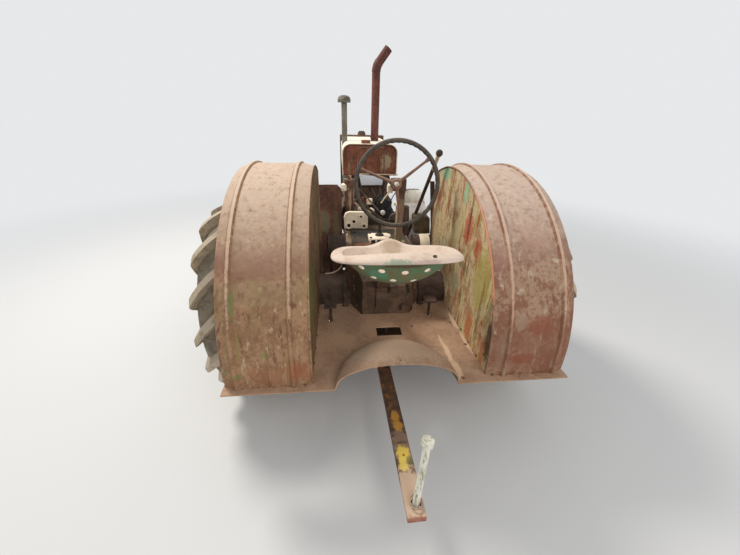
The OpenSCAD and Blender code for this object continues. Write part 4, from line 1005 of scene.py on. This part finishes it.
# %% Filter and lugged casting
lump("filter_bracket", frame_of(341.4, 184.6, 350.6, 191.6), 612, 62, "casting_cream", 9)
bolts("filter_bolts", heads(seen(611, [(343.6, 188.4), (348.4, 188.6)]), backwards), 6, "casting_cream")
pipe_path = [(355, 202, 600), (357, 205, 596), (360, 208, 590), (360.5, 213, 588), (360, 217.5, 588)]
rod_seen("filter_pipe", pipe_path, 11, "wire_pink", 14)
collar = tube(seen(590, [(359.8, v) for v in (206.4, 207, 209.4, 210)]), [13, 16, 16, 13], 14)
add_piece("filter_pipe_collar", collar, "casting_cream")
cast_edge = [(344.2, 228.6), (368, 228.8), (368, 214), (364.5, 212), (349, 211.8), (345.4, 213.4), (344, 217)]
lump("lugged_casting", cast_edge, 434, 26, "casting_cream", 6)
for number, (u, v, r) in enumerate(((353.8, 221.6, 17), (348.8, 225.4, 20), (364, 226, 16), (361, 216.6, 12))):
    centre = seen_at(u, v, 433.5)
    ring = [(r * 0.62, 3), (r * 0.62, -3), (r, -5), (r * 1.35, -2), (r * 1.4, 3)]
    turned("casting_eye_%d" % number, ring, centre, "casting_cream", 28)
    # The dark disc in each eye is painted shade for its hole.
    hole = [(0.4, -1), (r * 0.64, -1), (r * 0.64, 2), (0.4, 2)]
    turned("casting_hole_shade_%d" % number, hole, centre, "painted_hole_shade", 24)

# %% Castings, knobs and box
lump("engine_bit_red", frame_of(361.6, 197.4, 366, 204.6), 566, 36, "tank_rust", 5)
lump("engine_bit_cream", frame_of(366.4, 199, 372.6, 204.8), 572, 30, "casting_cream", 6)
lug_edge = [(367, 213), (375, 213.4), (374.6, 210.4), (372, 208.8), (368, 209.4)]
lump("engine_lug", lug_edge, 500, 44, "casting_cream", 7)
box_edge = [(414.6, 233.6), (430, 234), (430.2, 218.4), (428, 216.4), (416, 216), (414.2, 218)]
lump("side_box", box_edge, 300, 96, "box_dark", 9)
box_screws = [(417.4, 219.2), (427, 219.6), (417.6, 230.6), (427, 231)]
bolts("side_box_screws", heads(seen(299, box_screws), backwards), 4.5, "dark_steel")
knob = [(0.4, -22), (10, -21), (17, -15), (19, -6), (17, 3), (12, 10), (10, 24), (0.4, 24)]
turned("magneto_knob", knob, seen_at(382.6, 212.4, 556), "pulley_grey", 32)
knob = [(0.4, -16), (8, -15), (14, -10), (15, -3), (13, 3), (9, 7), (9, 14), (0.4, 14)]
turned("post_knob", knob, seen_at(396, 203.4, 96), "casting_cream", 32)

# %% Magneto cap, wires and rods
cap_low, cap_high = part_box("magneto")
cap_mid = Vector(((cap_low.x + cap_high.x) / 2, cap_low.y, cap_high.z))
cap = [(0.4, -14), (24, -13), (33, -7), (35, 2), (35, 14), (0.4, 14)]
turned("magneto_cap", cap, cap_mid + Vector((0, 0, -0.045)), "magneto_black")
for number, x in enumerate((-22, -8, 8, 22)):
    start = cap_mid + Vector((x / 1000, -0.004, -0.03 + abs(x) * -0.0004))
    path = [start + Vector(step) for step in (
        (0, 0, 0), (x / 1500, -0.034, 0.012), (x / 500, -0.02, 0.074), (x / 260 + 0.02, 0.08, 0.102),
        (x / 240 + 0.04, 0.3, 0.03), (x / 200, 0.62, -0.02))]
    add_piece("spark_wire_%d" % number, tube(bent(path), 3.6, 8), "magneto_black")
rod_seen("pink_wire", [(388.6, 220.6, 556), (390.6, 214.6, 540), (393.6, 214, 530), (397.4, 210.4, 556)], 3,
         "wire_pink", 8)
rod_seen("bright_link", [(389, 193, 40), (385.4, 196.6, 44), (381, 203, 52)], 4, "bright_rod")
rod_seen("throttle_rod", [(359, 189, 700), (366, 196.5, 560), (380, 212, 330)], 5, "dark_steel")
lump("quadrant_lump", [(387.4, 193), (393, 193.4), (393.4, 187), (391, 184.6), (388, 185.6)], 70, 34,
     "casting_cream", 5)
lump("post_casting", [(403.6, 206), (409.4, 206.6), (409, 232), (405, 236.6), (403.4, 234)], 96, 34,
     "housing_brown", 5)

# %% Ribbed drum above the belt pulley
drum_left, drum_right = seen(830, [(403.6, 198), (423.4, 198)])
drum_r = (seen_at(415, 190, 830) - seen_at(415, 206, 830)).length * 500
drum_w, ribs, rib_rise = (drum_right - drum_left).length * 1000, 13, 6
drum = [(drum_r * 0.3, -4)]
for k in range(ribs):
    crown = drum_r * (1 - 0.42 * abs(2 * (k + 0.5) / ribs - 1) ** 3.2)
    for r, share in ((crown - rib_rise, 0), (crown, 0.012), (crown, 0.05), (crown - rib_rise, 0.062)):
        drum.append((r, drum_w * k / ribs + drum_w * share))
drum.append((drum_r * 0.3, drum_w + 4))
turned("ribbed_drum", drum, drum_left, "drum_grey", 96, "X")
print("drum radius and width in mm", round(drum_r), round(drum_w), "at", [round(x, 3) for x in drum_left])

# %% Gear gate
plate_block("gate_casting", (-64, 143, 781), (82, 254, 814), "casting_cream", 9)
for number, x in enumerate((-38, -2, 34)):
    # The dark blocks are painted shade for the gate's hollows.
    plate_block("gate_hollow_shade_%d" % number, (x - 13, 140, 787), (x + 13, 145, 804), "painted_hole_shade", 3)
boot = [(9, 16), (13, 14), (18, 6), (26, 2), (28, -4), (9, -4)]
turned("lever_boot", boot, at(7, 205, 818), "dark_steel", 40, "Z")
bolts("gate_bolts", heads([at(x, y, 814) for x in (-52, 70) for y in (156, 240)], upwards), 6.5, "dark_steel")
cover_bolts = [at(x, y, 783) for x in (-150, 150) for y in (60, 150, 250, 350)]
bolts("cover_bolts", heads(cover_bolts, upwards), 7, "cover_brown")
plate_block("cover_plate_0", (-160, 96, 781), (-52, 136, 789), "tank_rust", 3)
rod_seen("cover_rod_low", [(343.4, 245, 150), (345, 240, 165), (347.6, 233.4, 190)], 5, "bright_rod")

# %% Brakes
brake_y, brake_z = 150, 772
cap_profile = [(0.5, 8), (18, 7), (30, 2), (44, -1), (56, -8), (63, -20), (64, -44), (0.5, -44)]
brake_band = [(55, 0), (61.5, 0), (62.5, 4), (62.5, 56), (61.5, 60), (55, 60)]
for side, s in sides:
    cap = lathe(cap_profile, steps=64)
    if s < 0:
        cap.transform(Matrix.Rotation(pi, 4, "Z"))
    cap.transform(Matrix.Translation(at(s * 318, brake_y, brake_z)))
    add_piece("brake_cap_" + side, cap, "casting_cream" if s > 0 else "cover_brown")
    if s > 0:
        turned("brake_band_right", brake_band, at(250, brake_y, brake_z), "casting_cream", 64, "X")
    ring = [at(s * 322, y, z) for y, z in arc_points(brake_y, brake_z, 46, circle(4, 0.5))]
    bolts("brake_bolts_" + side, heads(ring, rightwards * s), 5, "dark_steel")

# %% Hooks and straps at the back
for name, path, radius, look in (
        ("case_bracket", [(389.6, 292, -232), (389.8, 285, -240), (393, 284.2, -252), (405, 284.2, -252),
                          (408.8, 285, -240), (409, 292, -232)], 6, "dark_steel"),
        ("case_hook", [(401, 309.6, -236), (400.4, 305, -246), (404, 303.2, -258), (409, 303.4, -262),
                       (412, 306.4, -256), (411, 310, -240)], 5, "dark_steel"),
        ("pale_strap", [(325.6, 273.6, 0), (331, 273.2, -2), (337.6, 270.6, -2), (341.4, 266.4, 0), (342, 262.6, 4)],
         4, "bright_rod"),
        # The last pale rod stands for the highlight at the foot of the left pedal post: painted light.
        ("left_post_highlight", [(332.6, 317, -240), (333.4, 320, -244), (336.8, 322, -244)], 4.5, "bright_rod")):
    rod_seen(name, path, radius, look)

# %% [markdown]
# ## Front wheels and radiator
# The front tyres carry four plain ribs round the tread and a bead line on each sidewall. The radiator's core is a
# stack of thin fins with upright tubes behind it. Bolts round the hubs and covers come from short tables of places.

# %% Front tyres
front_low, front_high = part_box("front_tyre_left")
front_r, front_w, front_rim = (front_high.z - front_low.z) * 500, (front_high.x - front_low.x) * 500, 212
half_tread = [(front_rim + rise, w) for rise, w in (
    (1, 0.62), (14, 0.76), (22, 0.82), (26, 0.82), (50, 0.95), (54, 0.98), (74, 1.0))]
half_tread += [(front_r - drop, w) for drop, w in (
    (84, 1.0), (64, 0.985), (36, 0.94), (26, 0.92), (12, 0.84), (3, 0.74), (2, 0.70), (2, 0.50), (3, 0.47), (13, 0.45),
    (13, 0.38), (2, 0.36), (0, 0.34), (0, 0.10), (2, 0.08), (13, 0.05))]
inside = [(front_rim + 1, 0.42), (front_r - 50, 0.74), (front_r - 26, 0.4)]
tread = [(r, -w * front_w) for r, w in tyre_profile(half_tread, inside)]
for side, s in sides:
    add_piece("front_tyre_ribbed_" + side, lathe(tread, node_centre("front_tyre_" + side), 120), "tyre_front",
              "front_wheel_" + side, replaces=["front_tyre_" + side], smooth=40)

# %% Wheel bolts
stem_steps = ((0, 0), (12, 3), (34, 10), (40, 12))
for side, s in sides:
    for where, rim, rows in (("rear", rim_r, ((66, 6, 10), (120, 6, 8), (250, 12, 7))),
                             ("front", front_rim, ((34, 5, 6), (120, 6, 8)))):
        wheel, centre = "%s_wheel_%s" % (where, side), node_centre("%s_tyre_%s" % (where, side))
        for r, count, size in rows:
            starts = [centre + Vector((s * 400, r * cos(a), r * sin(a))) / 1000 for a in circle(count, 0.5)]
            bolted("%s_bolts_%s_%d" % (where, side, r), wheel, starts, rightwards * -s, size, wheel)
        stem = centre + Vector((s * 30, 0, rim - 26)) / 1000
        stem_path = [stem + Vector((s * x, 0, z)) / 1000 for x, z in stem_steps]
        add_piece("%s_valve_%s" % (where, side), tube(stem_path, [4, 4, 4, 2.6], 12), "dark_steel", wheel)

# %% Radiator core
rad_low, rad_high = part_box("radiator")
core_x0, core_x1 = rad_low.x * 1000 + 38, rad_high.x * 1000 - 38
core_z0, core_z1 = rad_low.z * 1000 + 92, 1220
front_face, mid_x = (rad_high.y - axle_y) * 1000, (rad_low.x + rad_high.x) * 500
core_y, fins, tubes = front_face - 20, 92, 26
points, faces = [], []


def add_box(x0, x1, depth, z0, z1):
    base, y0, y1 = len(points), core_y, core_y + depth
    points.extend(at(x, y, z) for z in (z0, z1) for x, y in ((x0, y0), (x1, y0), (x1, y1), (x0, y1)))
    faces.extend([(base, base + 3, base + 2, base + 1), tuple(range(base + 4, base + 8))] + band(base, base + 4, 4))


for k in range(fins):
    z = core_z0 + (core_z1 - core_z0) * (k + 0.5) / fins
    add_box(core_x0, core_x1, 11, z - 0.7, z + 0.7)
for k in range(tubes):
    x = core_x0 + (core_x1 - core_x0) * (k + 0.5) / tubes
    add_box(x - 2, x + 2, 8, core_z0, core_z1)
add_piece("radiator_core", mesh_of(points, faces, outward=False), "core_dark", smooth=0)
seam = [at(mid_x + (k - 4.5) * 42, front_face, z) for k in range(10) for z in (core_z0 - 12, core_z1 + 14)]
bolts("radiator_bolts", heads(seam, forwards), 6)
cap = [(0.5, 14), (22, 13), (28, 9), (30, 3), (34, 1), (34, -6), (0.5, -6)]
turned("radiator_cap", cap, at(mid_x, front_face - 55, rad_high.z * 1000), "dark_steel", axis="Z")
print("radiator fins and tubes", fins, tubes)

# %% Engine bolts, plugs and hood rivets
places = [(at(s * 212, 1440, z), rightwards * s) for s in (-1, 1) for z in (620, 690, 760, 830)]
places += [(at(x, 1540, z), forwards) for x in (-155, -60, 60, 145) for z in (632, 806)]
places += [(at(s * 201, y, z), rightwards * s) for s in (-1, 1) for y in (990, 1370) for z in (600, 715, 830)]
bolts("engine_bolts", places, 9)
plug = [(0.5, 46), (4, 46), (5, 40), (8, 38), (8, 22), (12, 20), (13, 12), (13, -6), (0.5, -6)]
for number, x in enumerate((-90, 90)):
    turned("spark_plug_%d" % number, plug, at(x, 1456, 861), "tag_white", 24, "Z")
hood_back = (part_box("hood")[0].y - axle_y) * 1000
rivets = [(at(s * 202.5 - 12, hood_back + 28 + 104 * k, 1112), rightwards * s) for s in (-1, 1) for k in range(9)]
bolts("hood_rivets", rivets, 4.5)
bend_r, bend_z, quarter = 61, 1250, pi / 2
bends = arc_points(-152.5, bend_z, bend_r, even(pi, quarter, 8))
bends += arc_points(128.5, bend_z, bend_r, even(quarter, 0, 8))
path = [at(x, hood_back + 1, z) for x, z in [(-213.5, 1094)] + bends + [(189.5, 1094)]]
add_piece("hood_bead", tube(path, 3.5, 8), "hood_cream")
turned("exhaust_clamp", [(31, -8), (35, -7), (36, 0), (35, 7), (31, 8)], at(54, 1100, 1340), "exhaust_rust", axis="Z")

# %% Covers and bolts on the castings
cover_edge = [(y, z) for z in (640, 782) for y in (1030, 1100, 1180, 1260, 1330)] + [(1030, 711), (1330, 711)]
case_rows = [(y, 742) for y in range(180, 940, 95)] + [(930, z) for z in (600, 560, 520)]
case_rows += [(y, z) for y in (-150, 150) for z in (640, 700)]
bearing_ring, crank_ring = arc_points(0, axle_high, 180, circle(12)), arc_points(780, 715, 46, circle(6))
for s, crank_end in ((-1, "flywheel"), (1, "belt_pulley")):
    x0, x1 = sorted((s * 200, s * 207))
    inwards = rightwards * -s
    plate_block("block_cover_%d" % (s + 1), (x0, 1010, 622), (x1, 1350, 800), "engine_brown", 3)
    bolts("block_cover_bolts_%d" % (s + 1), heads([at(s * 207, y, z) for y, z in cover_edge], rightwards * s), 7)
    for what, node_name, x, marks, size, body in (
            ("case_bolts", "main_case", 500, case_rows, 9, "chassis"),
            ("bearing_bolts", "main_case", 520, bearing_ring, 9, "chassis"),
            ("crank_hub_bolts", crank_end, 700, crank_ring, 7, "crankshaft")):
        bolted("%s_%d" % (what, s + 1), node_name, [at(s * x, y, z) for y, z in marks], inwards, size, body)
    arm = [at(x * s, 2400, z) for z in (455, 505) for x in (70, 120)]
    bolted("axle_bolts_%d" % (s + 1), "front_axle", arm, backwards, 8)
bolted("bolster_bolts", "main_case", [at(x, 2400, z) for x in (-95, 95) for z in (540, 580)], backwards, 10)
top = [at(x, y, 900) for x in (-95, 95) for y in (1800, 1850, 1890)]
bolted("bolster_top_bolts", "main_case", top, Vector((0, 0, -1)), 9)

# %% Hitch ring and sheet bolts
eye_ring = [at(-7 + 21 * cos(a), -1113 + 23 * sin(a), 328) for a in circle(32)]
add_piece("hitch_ring", tube(eye_ring, 2.8, closed=True), "spoke_brown")
strip = [at(s * (fender_in + 26 + 62 * k), rear_y + 34, floor_top) for s in (-1, 1) for k in range(5)]
bolts("strip_bolts", heads(strip, upwards), 5)
foot = [(at(s * (fender_in - 3), y, floor_top + 14), rightwards * -s) for s in (-1, 1)
        for y in (-620, -520, -420, -320, -220)]
bolts("fender_foot_bolts", foot, 4.5)

# %% [markdown]
